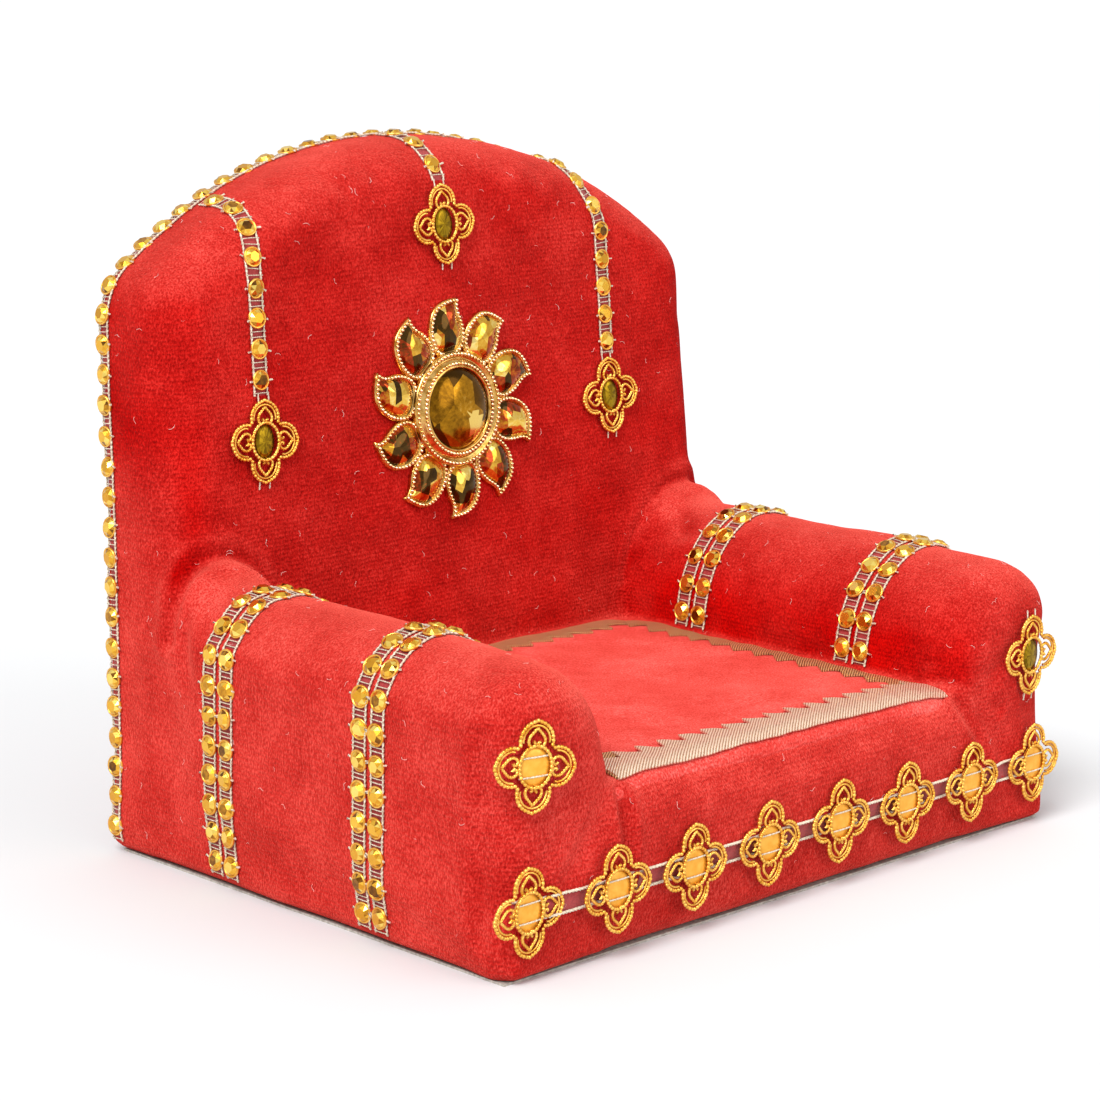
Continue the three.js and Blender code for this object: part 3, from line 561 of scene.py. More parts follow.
CREASES = [
    # points along the crease, how wide, how deep
    ([(-80.5, -50, 45), (-80.9, -50.5, 28), (-80.8, -50.5, 8)], 1.6, 0.6),
    ([(-51.2, -56, 35), (-50.6, -57.0, 28), (-50.3, -57.5, 20), (-51.0, -57.5, 14)], 1.3, 1.7),
    ([(48.0, -56.5, 31), (52.5, -57, 24), (56.5, -57, 17)], 1.3, 1.0),
    ([(48.0, -50.0, 34), (55.0, -55.0, 32), (60.0, -57, 27)], 1.1, 0.8),
    ([(49.0, -48.0, 37), (57.0, -53.0, 37), (63.0, -57, 33)], 1.1, 0.6),
    (joint_line(-1, 4, 5), 1.7, 2.0),
    (joint_line(1, 4, 8), 1.7, 1.8),
    ([(-80.8, 31.0, 40), (-80.6, 34.0, 50), (-78.5, 38.0, 57)], 2.2, 0.7),
    ([(-66.0, 12.0, 58.5), (-71.0, 24.0, 59.5), (-76.0, 31.0, 57.5)], 2.4, 0.5),
    ([(55.0, 26.0, 52), (60.0, 33.0, 56), (66.0, 37.0, 59)], 2.0, 0.7),
]


def distances(points, line):
    """How far each point is from a line of points."""
    best = np.full(len(points), 1e9)
    for a, b in zip(line[:-1], line[1:]):
        a, b = np.array(a, float), np.array(b, float)
        share = np.clip(((points - a) @ (b - a)) / ((b - a) @ (b - a)), 0, 1)
        best = np.minimum(best, np.linalg.norm(points - (a + share[:, None] * (b - a)), axis=1))
    return best


def waves(points, length, seed):
    """Smooth waves of about a length, between -1 and 1, the same each time for the same seed."""
    source = np.random.default_rng(seed)
    total = np.zeros(len(points))
    for _ in range(9):
        direction = source.normal(size=3)
        direction *= source.uniform(0.7, 1.5) / np.linalg.norm(direction)
        total += np.sin(points @ direction * 2 * math.pi / length + source.uniform(0, 2 * math.pi))
    return total / 4.0


def work_surface(obj, moves):
    """Moves each point of a piece along its normal by a function of its place, both in millimetres."""
    mesh = obj.data
    points = rows_of(mesh.vertices, "co") / MM
    shift = moves(points)[:, None] * rows_of(mesh.vertices, "normal")
    shift[points[:, 2] < FLOOR + 1.0, 2] = 0
    mesh.vertices.foreach_set("co", ((points + shift) * MM).ravel())
    mesh.update()


def paint_pile_and_light(obj, level):
    """Stores how pale the velvet is at each point, from 0 for deep to 1 for pale: the pile's direction together
    with painted light and shade.
    """
    points, normals = rows_of(obj.data.vertices, "co") / MM, rows_of(obj.data.vertices, "normal")
    values = level(points, normals) + 0.07 * waves(points, 26, 4) + 0.03 * waves(points, 9, 6)
    layer = obj.data.attributes.new("pile_and_painted_light", "FLOAT", "POINT")
    layer.data.foreach_set("value", np.clip(values, 0, 1))


def body_moves(points):
    shift = 0.22 * waves(points, 34, 3) + 0.08 * waves(points, 11, 5)
    for line, width, depth in CREASES:
        away = distances(points, line) / width
        shift += -depth * np.exp(-away ** 2) + 0.35 * depth * np.exp(-(away - 2.0) ** 2)
    return shift


work_surface(body, body_moves)
work_surface(mat, lambda points: 0.12 * waves(points, 22, 8) + 0.05 * waves(points, 7, 9))
print("creases:", len(CREASES))

# %% [markdown]
# Pile that was stroked one way looks pale, and stroked the other way deep. The backrest and the inner side of
# the right arm are painted deep, the arms and the front pale, and whatever faces up paler still. This holds the
# pile's direction together with painted shade in the recess and low on the backrest, and painted light on faces
# turned up.

# %% Brushing the pile, with painted light and shade


def body_pile_and_painted_light(points, normals):
    x, y, z = points.T
    outer_side = smooth(np.abs(normals[:, 0]), 0.5, 0.9) * (1 - smooth(z, 62, 90))
    on_back = smooth(y - back_front(z), -3.5, 0.5) * (1 - outer_side)
    # The backrest is paler towards its top and to the left: the pile, and partly painted shade low down where
    # less light falls.
    back = 0.01 + 0.15 * smooth(z, 62, 138) + 0.06 * smooth(-x, 45, 78)
    # Painted shade: the inner side of the right arm, in the recess beside the seat, is made deepest; the right
    # arm is deeper overall.
    rest = 0.56 - 0.54 * smooth(-normals[:, 0], 0.2, 0.8) * smooth(x, 35, 44) - 0.2 * smooth(x, 50, 70)
    # The lower front of the left arm is made darker towards the bottom.
    rest -= 0.12 * smooth(-x, 40, 60) * smooth(-z, -22, 0) * smooth(-normals[:, 1], 0.5, 0.9)
    # Painted light: faces turned up are made up to 0.6 paler, as if lit from above.
    return rest * (1 - on_back) + back * on_back + 0.6 * smooth(normals[:, 2], 0.15, 0.95)


paint_pile_and_light(body, body_pile_and_painted_light)
paint_pile_and_light(mat, lambda points, normals: 0.55 + 0 * points[:, 0])
print("pile brushed")

# %% Dress the body
BODY = [(body, ["backrest", "left_arm", "right_arm", "seat_block"], VELVET, "velvet", 0.8),
        (mat, ["seat_mat"], MAT_VELVET, "mat_velvet", 0.35)]
for piece, nodes, material, slot, fill in BODY:
    piece.data.materials.clear()
    piece.data.materials.append(material)
    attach(piece, "root")
    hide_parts(*nodes)
print("dressed:", [piece.name for piece, *_ in BODY])

# %% [markdown]
# Gilt plastic, mirror stones and metallic thread dress the throne. The plastic is vacuum-metallised and
# lacquered yellow, so it shines like brass but softer. The stones are clear amber plastic on a foil back, and
# what their facets mirror runs from bright yellow to nearly black: a tone attribute paints these as painted
# reflections face by face.

# %% Gold, stones and threads


def grainy(name, values, colour_mm, shades, bump_mm, depth_mm, strength):
    """A material with two shades in a fine noise, and a finer bump. The noises' sizes are in millimetres."""
    material, tree, shader = new_material(name, values)
    colour_by(tree, shader, noise_pattern(tree, colour_mm, 3.0), (0.3, 0.7), shades)
    feel(tree, shader, noise_pattern(tree, bump_mm, 2.0), depth_mm, strength)
    return material


def gilt(name, shades, roughness, metallic=1.0):
    return grainy(name, {"Metallic": metallic, "Roughness": roughness}, 1.6, shades, 0.35, 0.03, 0.6)


def thread_material(name, shades, metallic, roughness):
    values = {"Metallic": metallic, "Roughness": roughness, "Sheen Weight": 0.3}
    return grainy(name, values, 0.4, shades, 0.22, 0.06, 0.7)


def stone_material(name, stops, roughness, coat=0.25, patch_mm=0.0):
    """A mirror-backed stone with painted reflections. Its facets take their reflection tone face by face, or as
    irregular patches of a size.
    """
    material, tree, shader = new_material(name, {
        "Metallic": 0.9, "Roughness": roughness, "Coat Weight": coat, "Coat Roughness": 0.04, "Coat IOR": 1.5})
    tone = add(tree, "ShaderNodeAttribute", {"attribute_name": "tone"}).outputs["Fac"]
    if patch_mm:
        mapping = add(tree, "ShaderNodeMapping", values={"Rotation": (0.0, 0.5, 0.0), "Scale": (1.0, 0.2, 0.62)},
                      links={"Vector": object_place(tree)})
        cells = add(tree, "ShaderNodeTexVoronoi", values={"Scale": 1 / (patch_mm * MM)},
                    links={"Vector": mapping})
        patches = add(tree, "ShaderNodeSeparateColor", links={"Color": cells.outputs["Color"]}).outputs["Red"]
        tone = maths(tree, "MULTIPLY_ADD", patches, 0.72, tone)
    cloudy = maths(tree, "MULTIPLY_ADD", noise_pattern(tree, 0.9, 2.0), 0.25, tone)
    colour_by(tree, shader, maths(tree, "SUBTRACT", cloudy, 0.125), *zip(*stops))
    return material


GILT = gilt("gilt_lacquered_plastic", ("#DE9628", "#FFCC66"), 0.3, 0.85)
GILT_PALE = gilt("gilt_beads_pale", ("#E2AE62", "#FFEFCE"), 0.16)
GILT_ROSE = gilt("gilt_rose_moulding", ("#B27A28", "#F0C476"), 0.2)
GILT_DISC = gilt("gilt_flat_foil", ("#E8A028", "#F6B848"), 0.42, 0.5)
# The ramps below run from nearly black to pale yellow: painted reflections on the mirror facets.
STONE = stone_material("amber_mirror_stone", [
    (0.0, "#4A2A04"), (0.12, "#8A560C"), (0.26, "#DC9A20"), (0.7, "#F6C040"), (1.0, "#FFE274")], 0.2)
PETAL_STONE = stone_material("amber_petal_stone", [
    (0.0, "#241402"), (0.3, "#4E3406"), (0.42, "#A83410"), (0.54, "#C88A1C"), (0.78, "#E8BC4C"),
    (1.0, "#FFF0A4")], 0.12, coat=0.1, patch_mm=2.3)
CABOCHON = stone_material("brown_cabochon", [
    (0.0, "#3E2600"), (0.35, "#4A2E00"), (0.6, "#6A4400"), (0.8, "#B47C14"),
    (1.0, "#E8C468")], 0.16, coat=0.0, patch_mm=5.0)
SLOT = stone_material("olive_mirror_slot", [(0.0, "#4A3402"), (0.5, "#826408"), (1.0, "#B08C16")], 0.3, 0.0)
CORD = thread_material("silver_beige_cord", ("#B8A488", "#F2E6D0"), 0.2, 0.5)
NET = thread_material("mauve_net", ("#8A1216", "#A8302F"), 0.0, 0.8)
print("finishes:", len(bpy.data.materials))

# %% [markdown]
# Two Geometry Nodes trees do the repeating work. The first sweeps a lobed ring along lines and turns it as it
# goes, which makes a twisted cord, or with other sizes the wire of the motifs. The second sets copies of a small
# piece on points, each facing the way its point says and turned by chance, with a fixed seed.

# %% Tree for twisted cord


def new_tree(name, inputs):
    tree = bpy.data.node_groups.new(name, "GeometryNodeTree")
    tree.interface.new_socket("Geometry", in_out="INPUT", socket_type="NodeSocketGeometry")
    for label, kind in inputs:
        tree.interface.new_socket(label, in_out="INPUT", socket_type="NodeSocket" + kind)
    tree.interface.new_socket("Geometry", in_out="OUTPUT", socket_type="NodeSocketGeometry")
    return tree, add(tree, "NodeGroupInput").outputs


def close_tree(tree, geometry, material):
    realized = add(tree, "GeometryNodeRealizeInstances", links={"Geometry": geometry})
    dressed = add(tree, "GeometryNodeSetMaterial", links={"Geometry": realized, "Material": material})
    add(tree, "NodeGroupOutput", links={"Geometry": dressed})
    return tree


def twisted_cord_tree():
    tree, given = new_tree("twisted_cord", [
        ("Radius", "Float"), ("Lobe Depth", "Float"), ("Lay Length", "Float"), ("Step", "Float"),
        ("Sides", "Int"), ("Lobes", "Int"), ("Material", "Material")])
    curve = add(tree, "GeometryNodeMeshToCurve", links={"Mesh": given["Geometry"]})
    even = add(tree, "GeometryNodeResampleCurve", {"mode": "LENGTH"},
               links={"Curve": curve, "Length": given["Step"]})
    along = add(tree, "GeometryNodeSplineParameter").outputs["Length"]
    tilt = maths(tree, "MULTIPLY", maths(tree, "DIVIDE", along, given["Lay Length"]), 2 * math.pi)
    turned_curve = add(tree, "GeometryNodeSetCurveTilt", links={"Curve": even, "Tilt": tilt})
    ring = add(tree, "GeometryNodeCurvePrimitiveCircle", values={"Radius": 1.0},
               links={"Resolution": given["Sides"]})
    share = maths(tree, "DIVIDE", add(tree, "GeometryNodeInputIndex"), given["Sides"])
    angle = maths(tree, "MULTIPLY", maths(tree, "MULTIPLY", share, given["Lobes"]), 2 * math.pi)
    radius = maths(tree, "MULTIPLY_ADD", maths(tree, "COSINE", angle), given["Lobe Depth"], given["Radius"])
    position = add(tree, "GeometryNodeInputPosition")
    scaled = add(tree, "ShaderNodeVectorMath", {"operation": "SCALE"},
                 links={0: position, "Scale": radius})
    profile = add(tree, "GeometryNodeSetPosition", links={"Geometry": ring, "Position": scaled})
    swept = add(tree, "GeometryNodeCurveToMesh", values={"Fill Caps": True},
                links={"Curve": turned_curve, "Profile Curve": profile})
    smooth_faces = add(tree, "GeometryNodeSetShadeSmooth", links={"Geometry": swept})
    return close_tree(tree, smooth_faces, given["Material"])


CORD_TREE = twisted_cord_tree()
print("tree:", CORD_TREE.name, "with", len(CORD_TREE.nodes), "nodes")

# %% Tree for copies on points


def copies_tree():
    tree, given = new_tree("copies_on_points", [
        ("Copy", "Object"), ("Spin", "Float"), ("Size Spread", "Float"), ("Seed", "Int"),
        ("Tone Low", "Float"), ("Tone High", "Float"), ("Material", "Material")])

    def direction(name):
        return add(tree, "GeometryNodeInputNamedAttribute", {"data_type": "FLOAT_VECTOR"},
                   {"Name": name}).outputs["Attribute"]

    def chance(links, values=None):
        return add(tree, "FunctionNodeRandomValue", {"data_type": "FLOAT"}, values,
                   {**links, "Seed": given["Seed"]}).outputs[1]

    outward = add(tree, "FunctionNodeAlignRotationToVector", {"axis": "Z"},
                  links={"Vector": direction("facing")})
    ahead = add(tree, "FunctionNodeAlignRotationToVector", {"axis": "Y", "pivot_axis": "Z"},
                links={"Rotation": outward, "Vector": direction("along")})
    turn = add(tree, "FunctionNodeAxisAngleToRotation", values={"Axis": (0, 0, 1)},
               links={"Angle": chance({"Max": given["Spin"]})})
    rotation = add(tree, "FunctionNodeRotateRotation", {"rotation_space": "LOCAL"},
                   links={"Rotation": ahead, "Rotate By": turn})
    size = chance({"Min": maths(tree, "SUBTRACT", 1.0, given["Size Spread"])}, {"Max": 1.0})
    source = add(tree, "GeometryNodeObjectInfo", links={"Object": given["Copy"]})
    copies = add(tree, "GeometryNodeInstanceOnPoints", links={
        "Points": given["Geometry"], "Instance": source.outputs["Geometry"], "Rotation": rotation,
        "Scale": size})
    plain = add(tree, "GeometryNodeRealizeInstances", links={"Geometry": copies})
    # Each face of the copies gets a random tone, which the stone materials turn into painted reflection.
    tone = chance({"Min": given["Tone Low"], "Max": given["Tone High"]})
    toned = add(tree, "GeometryNodeStoreNamedAttribute", {"data_type": "FLOAT", "domain": "FACE"},
                {"Name": "tone"}, {"Geometry": plain, "Value": tone})
    return close_tree(tree, toned, given["Material"])


COPIES_TREE = copies_tree()
print("tree:", COPIES_TREE.name, "with", len(COPIES_TREE.nodes), "nodes")

# %% Running a tree


def grown(name, source_mesh, tree, values):
    """The plain mesh that a tree makes from a source mesh, as a new object."""
    obj = put_in_scene(name, source_mesh)
    modifier = obj.modifiers.new(tree.name, "NODES")
    modifier.node_group = tree
    for item in tree.interface.items_tree:
        if item.in_out == "INPUT" and item.name in values:
            modifier[item.identifier] = values[item.name]
    obj.update_tag()
    made = evaluated(obj)
    obj.modifiers.clear()
    old, obj.data = obj.data, made
    bpy.data.meshes.remove(old)
    made.name = name
    return obj


def lines_mesh(lines):
    """A mesh of edges from lines of points in millimetres."""
    points, edges = [], []
    for line in lines:
        edges += [(len(points) + i, len(points) + i + 1) for i in range(len(line) - 1)]
        points += [tuple(p) for p in line]
    return raw_mesh("lines", points, edges=edges)


def points_mesh(places):
    """A mesh of points, each with the way it faces and the way it runs."""
    mesh = raw_mesh("places", [p["point"] for p in places])
    for name, key in (("facing", "normal"), ("along", "along")):
        layer = mesh.attributes.new(name, "FLOAT_VECTOR", "POINT")
        layer.data.foreach_set("vector", np.array([p[key] for p in places], float).ravel())
    return mesh


def cord_of(name, lines, radius, material, lay, step, sides, lobes, depth):
    """Cords along lines: lay is the length of one twist, and depth is a share of the radius."""
    return grown(name, lines_mesh(lines), CORD_TREE, {
        "Radius": radius * MM, "Lobe Depth": radius * depth * MM, "Lay Length": lay * MM, "Step": step * MM,
        "Sides": sides, "Lobes": lobes, "Material": material})


def copies_of(name, places, copy, material, spin=0.0, spread=0.0, seed=1, tone=(0.0, 1.0)):
    return grown(name, points_mesh(places), COPIES_TREE, {
        "Copy": copy, "Spin": spin, "Size Spread": spread, "Seed": seed, "Tone Low": tone[0],
        "Tone High": tone[1], "Material": material})


def template(name, points, faces, flat=True):
    """A small piece to copy, kept out of the render."""
    obj = put_in_scene(name, mesh_of(name, points, faces))
    obj.hide_render = True
    shade_smooth(obj.data, not flat)
    return obj


def joined(name, pieces):
    """Several pieces as one."""
    with bpy.context.temp_override(active_object=pieces[0], object=pieces[0], selected_editable_objects=pieces,
                                   selected_objects=pieces):
        bpy.ops.object.join()
    pieces[0].name = name
    return pieces[0]


def settle(piece, slot, *nodes):
    """Fixes a trim to the throne and, where it stands for solids of the frame, hides those."""
    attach(piece, "root")
    if nodes:
        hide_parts(*nodes)
    print(piece.name, len(piece.data.polygons), "faces")
    return piece


def ring_of(radius, count, height=0.0, shift=0.0):
    """Points evenly round a circle, the first turned on by a share of their pitch."""
    angles = [2 * math.pi * (k + shift) / count for k in range(count)]
    return [(radius * math.cos(a), radius * math.sin(a), height) for a in angles]


def lathe(profile, sides):
    """Points and faces of a turned shape round Z, from (radius, height) pairs, open at the ends."""
    points = [point for radius, height in profile for point in ring_of(radius, sides, height)]
    return points, quads(len(profile), sides, True)


print("tools ready")

# %% [markdown]
# Every trim lies on the velvet, not in the air. Its path is worked out on the frame's shapes and then dropped
# onto the finished skin with a ray, so that it follows each wave and fold.

# %% Dropping points on the velvet


def tree_of(obj):
    return BVHTree.FromObject(obj, bpy.context.evaluated_depsgraph_get())


BODY_TREE, MAT_TREE = tree_of(body), tree_of(mat)


def on_skin(point, normal, lift, tree=None, reach=7.0):
    """The point of the skin under a place, looking back along its normal, raised by a lift."""
    point, normal = np.asarray(point, float), np.asarray(normal, float)
    hit = (tree or BODY_TREE).ray_cast(Vector(point + normal * reach) * MM, Vector(-normal), 2 * reach * MM)[0]
    return (np.array(hit) / MM if hit else point) + normal * lift


def unit(vector):
    return np.asarray(vector, float) / max(np.linalg.norm(vector), 1e-9)


BACK_NORMAL = unit((0, -1, LEAN))
PATH_FLOOR = FLOOR + 2.4


def rim_path():
    """Round the edge of the backrest, from the floor on the left over the arch to the floor on the right."""
    path = []
    for x, z, nx, nz in backrest_outline()[::-1]:
        z = max(z, PATH_FLOOR)
        x = math.copysign(min(abs(x), back_half_width(z)), x)
        path.append(((x, back_front(z) + BACK_THICKNESS - 3, z), (nx, 0, nz)))
    return path


def arm_path(side, from_front):
    """Over an arm, from the outer floor over the roll down to the seat."""
    fall = FRONT_FALL * max(0, 1 - from_front / FALL_LENGTH)
    inner = HALF_WIDTH - ARM_WIDTHS[side]
    points = []
    for x, z in arm_outline(ARM_WIDTHS[side])[::-1]:
        z = max(z, MAT_TOP + 0.4 if abs(x - inner) < 1e-6 else PATH_FLOOR)
        point = np.array((side * x, FRONT + from_front, z - fall * (z / ARM_HEIGHT) ** 4))
        if not points or np.linalg.norm(point - points[-1]) > 0.3:
            points.append(point)
    path = []
    for i, point in enumerate(points):
        run = points[min(i + 1, len(points) - 1)] - points[max(i - 1, 0)]
        path.append((point, unit((side * run[2], 0, -side * run[0]))))
    return path


def arch_edge(x, angle, depth=0.0):
    """On the padded front edge of the arch over one x: no angle is the flat face, a right angle the top."""
    radius = ARCH_RADIUS - FRONT_ROUNDING * (1 - math.sin(angle))
    z = ARCH_CENTRE + math.sqrt(radius ** 2 - x ** 2)
    point = (x, back_front(z) + FRONT_ROUNDING * (1 - math.cos(angle)) + depth, z)
    outwards = unit((x, 0, z - ARCH_CENTRE))
    return point, unit(outwards * math.sin(angle) + BACK_NORMAL * math.cos(angle))


def hanging_path(top_x, bottom_x, bottom_z):
    """From the rim over the rounded edge and down the face of the backrest, drifting sideways as it goes."""
    edge = [arch_edge(top_x, math.pi / 2, 4.4)]
    edge += [arch_edge(top_x, math.pi / 2 * k / 24) for k in range(24, -1, -1)]
    top_z = edge[0][0][2]
    path = []
    for point, normal in edge:
        if point[2] > bottom_z:
            share = smooth((top_z - point[2]) / (top_z - bottom_z), 0, 0.4)
            path.append(((point[0] + (bottom_x - top_x) * share, point[1], point[2]), normal))
    last = path[-1][0]
    for share in np.linspace(0, 1, 25)[1:]:
        x, z = last[0] + (bottom_x - last[0]) * share, last[2] + (bottom_z - last[2]) * share
        path.append(((x, back_front(z), z), BACK_NORMAL))
    return path


def travelled(points):
    """How far along a line each of its points lies."""
    return np.concatenate([[0], np.cumsum(np.linalg.norm(np.diff(points, axis=0), axis=1))])


def between(wanted, at, values):
    """Values at the wanted distances along a line, from those known at some distances."""
    return np.stack([np.interp(wanted, at, column) for column in np.transpose(values)], 1)


def even_places(path, pitch, whole=True):
    """Places at an even pitch along a path, with the way they face and run. Without whole they lie half a pitch
    in from the ends."""
    points, normals = (np.array([pair[i] for pair in path], float) for i in (0, 1))
    far = travelled(points)
    wanted = np.linspace(0, far[-1], max(1, round(far[-1] / pitch)) + 1)
    if not whole:
        wanted = (wanted[1:] + wanted[:-1]) / 2
    at = between(wanted, far, points)
    places = []
    for i, out in enumerate(between(wanted, far, normals)):
        normal = unit(out)
        run = at[min(i + 1, len(at) - 1)] - at[max(i - 1, 0)]
        along = unit(run - normal * (run @ normal))
        places.append({"point": at[i], "normal": normal, "along": along, "across": np.cross(normal, along)})
    return places


def beside(place, ahead, aside, lift):
    """The point of the skin a little ahead of a place and to its side."""
    return on_skin(place["point"] + place["along"] * ahead + place["across"] * aside, place["normal"], lift)


print("rim:", len(even_places(rim_path(), 6.0, False)), "stones")

# %% [markdown]
# A stone chain is a bought trim: two twisted cords, with a net ribbon between them and a round mirror stone
# clipped in every six millimetres. Cross threads bind the cords beside each stone and their ends stick out as
# small picots. The armbands are the same trim with two rows of stones.

# %% One stone and its bezel
STONE_RADIUS, BEZEL_RADIUS = 1.98, 2.2


def stone_template():
    """A faceted dome: a six-sided table, and a ring of kites and triangles down to the edge."""
    points = ring_of(STONE_RADIUS, 12, 0.45) + ring_of(1.15, 6, 1.25, 0.5)
    faces = [(2 * k, 2 * k + 1, 12 + k) for k in range(6)]
    faces += [(2 * k + 1, (2 * k + 2) % 12, 12 + k) for k in range(6)]
    faces += [((2 * k + 2) % 12, 12 + (k + 1) % 6, 12 + k) for k in range(6)]
    faces.append(tuple(range(12, 18)))
    return template("stone", points, faces)


def bezel_template():
    points, faces = lathe([(BEZEL_RADIUS - 0.15, 0.0), (BEZEL_RADIUS, 0.2), (BEZEL_RADIUS - 0.03, 0.6),
                           (STONE_RADIUS - 0.08, 0.68), (STONE_RADIUS - 0.15, 0.35)], 16)
    return template("bezel", points, faces, flat=False)


stone_piece, bezel_piece = stone_template(), bezel_template()
print("stone:", len(stone_piece.data.polygons), "faces; bezel:", len(bezel_piece.data.polygons), "faces")

# %% Chains from paths
CORD_OFFSET, CORD_RADIUS, CROSS_RADIUS = 1.62, 0.22, 0.13
STONE_PITCH, ROW_SPACING, NET_HALF_WIDTH, THREAD_AHEAD, PICOT_START = 6.0, 4.9, 1.5, 2.5, 1.7


def sheet_of(name, points, faces, thickness, material):
    """A thin piece from a single layer of faces."""
    mesh = raw_mesh(name, points, faces)
    mesh.materials.append(material)
    obj = put_in_scene(name, mesh)
    with_modifiers(obj, ("SOLIDIFY", {"thickness": thickness * MM, "offset": 1.0}))
    return obj


def net_ribbon(name, places, offsets, lift):
    """A narrow net ribbon through places, laid on the skin."""
    points = [beside(p, 0, offset, lift) for p in places for offset in offsets]
    return sheet_of(name, points, quads(len(places), len(offsets)), 0.12, NET)


def chain(name, path, rows, node, seed):
    """A whole chain in place of a node of the frame."""
    source = np.random.default_rng(seed)
    stones, fine = even_places(path, STONE_PITCH, whole=False), even_places(path, 0.9)
    row_offsets = [(row - (rows - 1) / 2) * ROW_SPACING for row in range(rows)]
    set_stones, cords, threads, picots = [], [], [], []
    for offset in row_offsets:
        for side in (-1, 1):
            cords.append([beside(p, 0, offset + side * CORD_OFFSET, CORD_RADIUS + 0.12) for p in fine])
        for p in stones:
            jog = source.normal(0, 0.12, 2)
            lean = unit(p["normal"] + 0.07 * source.normal(size=3))
            seat = beside(p, jog[1], offset + jog[0], 0.16)
            set_stones.append({"point": seat, "normal": lean, "along": p["along"]})
            for ahead in (-THREAD_AHEAD, THREAD_AHEAD):
                threads.append([beside(p, ahead, offset + c, 0.56 - 0.05 * abs(c))
                                for c in (-1.9, -1.0, 0, 1.0, 1.9)])
            for side in (-1, 1):
                reach, tilt = source.uniform(2.5, 2.9), source.uniform(-0.4, 0.4)
                out = reach - PICOT_START
                picots.append([
                    beside(p, tilt * t + 0.2, offset + side * (PICOT_START + out * t), 0.45 + 0.2 * t)
                    for t in (0, 0.5, 1)])
    pieces = [
        cord_of(name + "_cords", cords, CORD_RADIUS, CORD, 1.9, 0.34, 8, 2, 0.30),
        cord_of(name + "_threads", threads, CROSS_RADIUS, CORD, 1.2, 0.5, 5, 2, 0.2),
        cord_of(name + "_picots", picots, 0.23, CORD, 1.2, 0.4, 6, 2, 0.2),
        copies_of(name + "_stones", set_stones, stone_piece, STONE, 6.28, 0.06, seed, (0.05, 1.0)),
        copies_of(name + "_bezels", set_stones, bezel_piece, GILT, 0.0, 0.06, seed)]
    pieces += [net_ribbon(name + "_net", fine, offset + NET_HALF_WIDTH * np.linspace(-1, 1, 4), 0.02)
               for offset in row_offsets]
    settle(joined(name, pieces), "stone_chain", node)


chain("chain_rim", rim_path(), 1, "rim_chain", 11)
BANDS = [("left", "front", -1, 34.6), ("left", "rear", -1, 77.8),
         ("right", "front", 1, 28.5), ("right", "rear", 1, 73.7)]
for number, (side_name, end, side, from_front) in enumerate(BANDS):
    chain(f"chain_{side_name}_{end}", arm_path(side, from_front), 2, f"{side_name}_arm_band_{end}", 21 + number)
HANGING = {  # where each chain starts on the rim and where it ends, and the turn of its motif in degrees
    "left": (-51.5, -54.0, 91.6, 3), "centre": (-3.2, -3.0, 131.6, -4), "right": (40.0, 44.5, 91.6, -3)}
for number, (name, (*run, _)) in enumerate(HANGING.items()):
    chain(f"chain_hanging_{name}", hanging_path(*run), 1, f"hanging_chain_{name}", 31 + number)

# %% [markdown]
# A quatrefoil is moulded to look like wirework: four lobes rimmed with beads, a heart of two scrolls inside
# each lobe, and an oval ring in the middle. Nothing fills the lobes, so the velvet shows through. The wires are
# lines in a flat drawing, swept by the cord tree with a slight twist, and one drawing serves all the motifs.

# %% Drawing one quatrefoil
MOTIF_HEIGHT, MOTIF_WIDTH, LOBE_RADIUS, TIP_LENGTH = 17.3, 17.7, 3.85, 0.26
WIRE_RADIUS, RIM_RADIUS, BEAD_RADIUS, BEAD_PITCH = 0.33, 0.34, 0.43, 0.76
HALF_HEART = [(0, 2.3), (0.75, 1.55), (1.5, 0.75), (1.72, -0.2), (1.2, -1.0), (0.5, -0.95), (0.3, -0.35),
              (0.75, -0.1)]


def curve_through(points, steps):
    """A smooth line through points."""
    points = np.asarray(points, float)
    longer = np.concatenate([[2 * points[0] - points[1]], points, [2 * points[-1] - points[-2]]])
    line = []
    for a, b, c, d in zip(longer, longer[1:], longer[2:], longer[3:]):
        square, cube = 2 * a - 5 * b + 4 * c - d, 3 * b - a - 3 * c + d
        for t in np.linspace(0, 1, steps, endpoint=False):
            line.append(0.5 * (2 * b + (c - a) * t + square * t ** 2 + cube * t ** 3))
    return np.array(line + [points[-1]])


def lobes():
    """The lobes' directions, the places of their centres and how far each arc runs to the notches."""
    tip = LOBE_RADIUS + TIP_LENGTH
    side, top = MOTIF_WIDTH / 2 - tip, MOTIF_HEIGHT / 2 - tip
    spread = math.hypot(side, top)
    rise = math.sqrt(max(0, LOBE_RADIUS ** 2 - (spread / 2) ** 2))
    notch = np.array([side / 2 + rise * top / spread, top / 2 + rise * side / spread])
    side_span = math.atan2(notch[1], notch[0] - side)
    top_span = math.atan2(notch[0], notch[1] - top)
    return [(0, side, side_span), (90, top, top_span), (180, side, side_span), (270, top, top_span)]


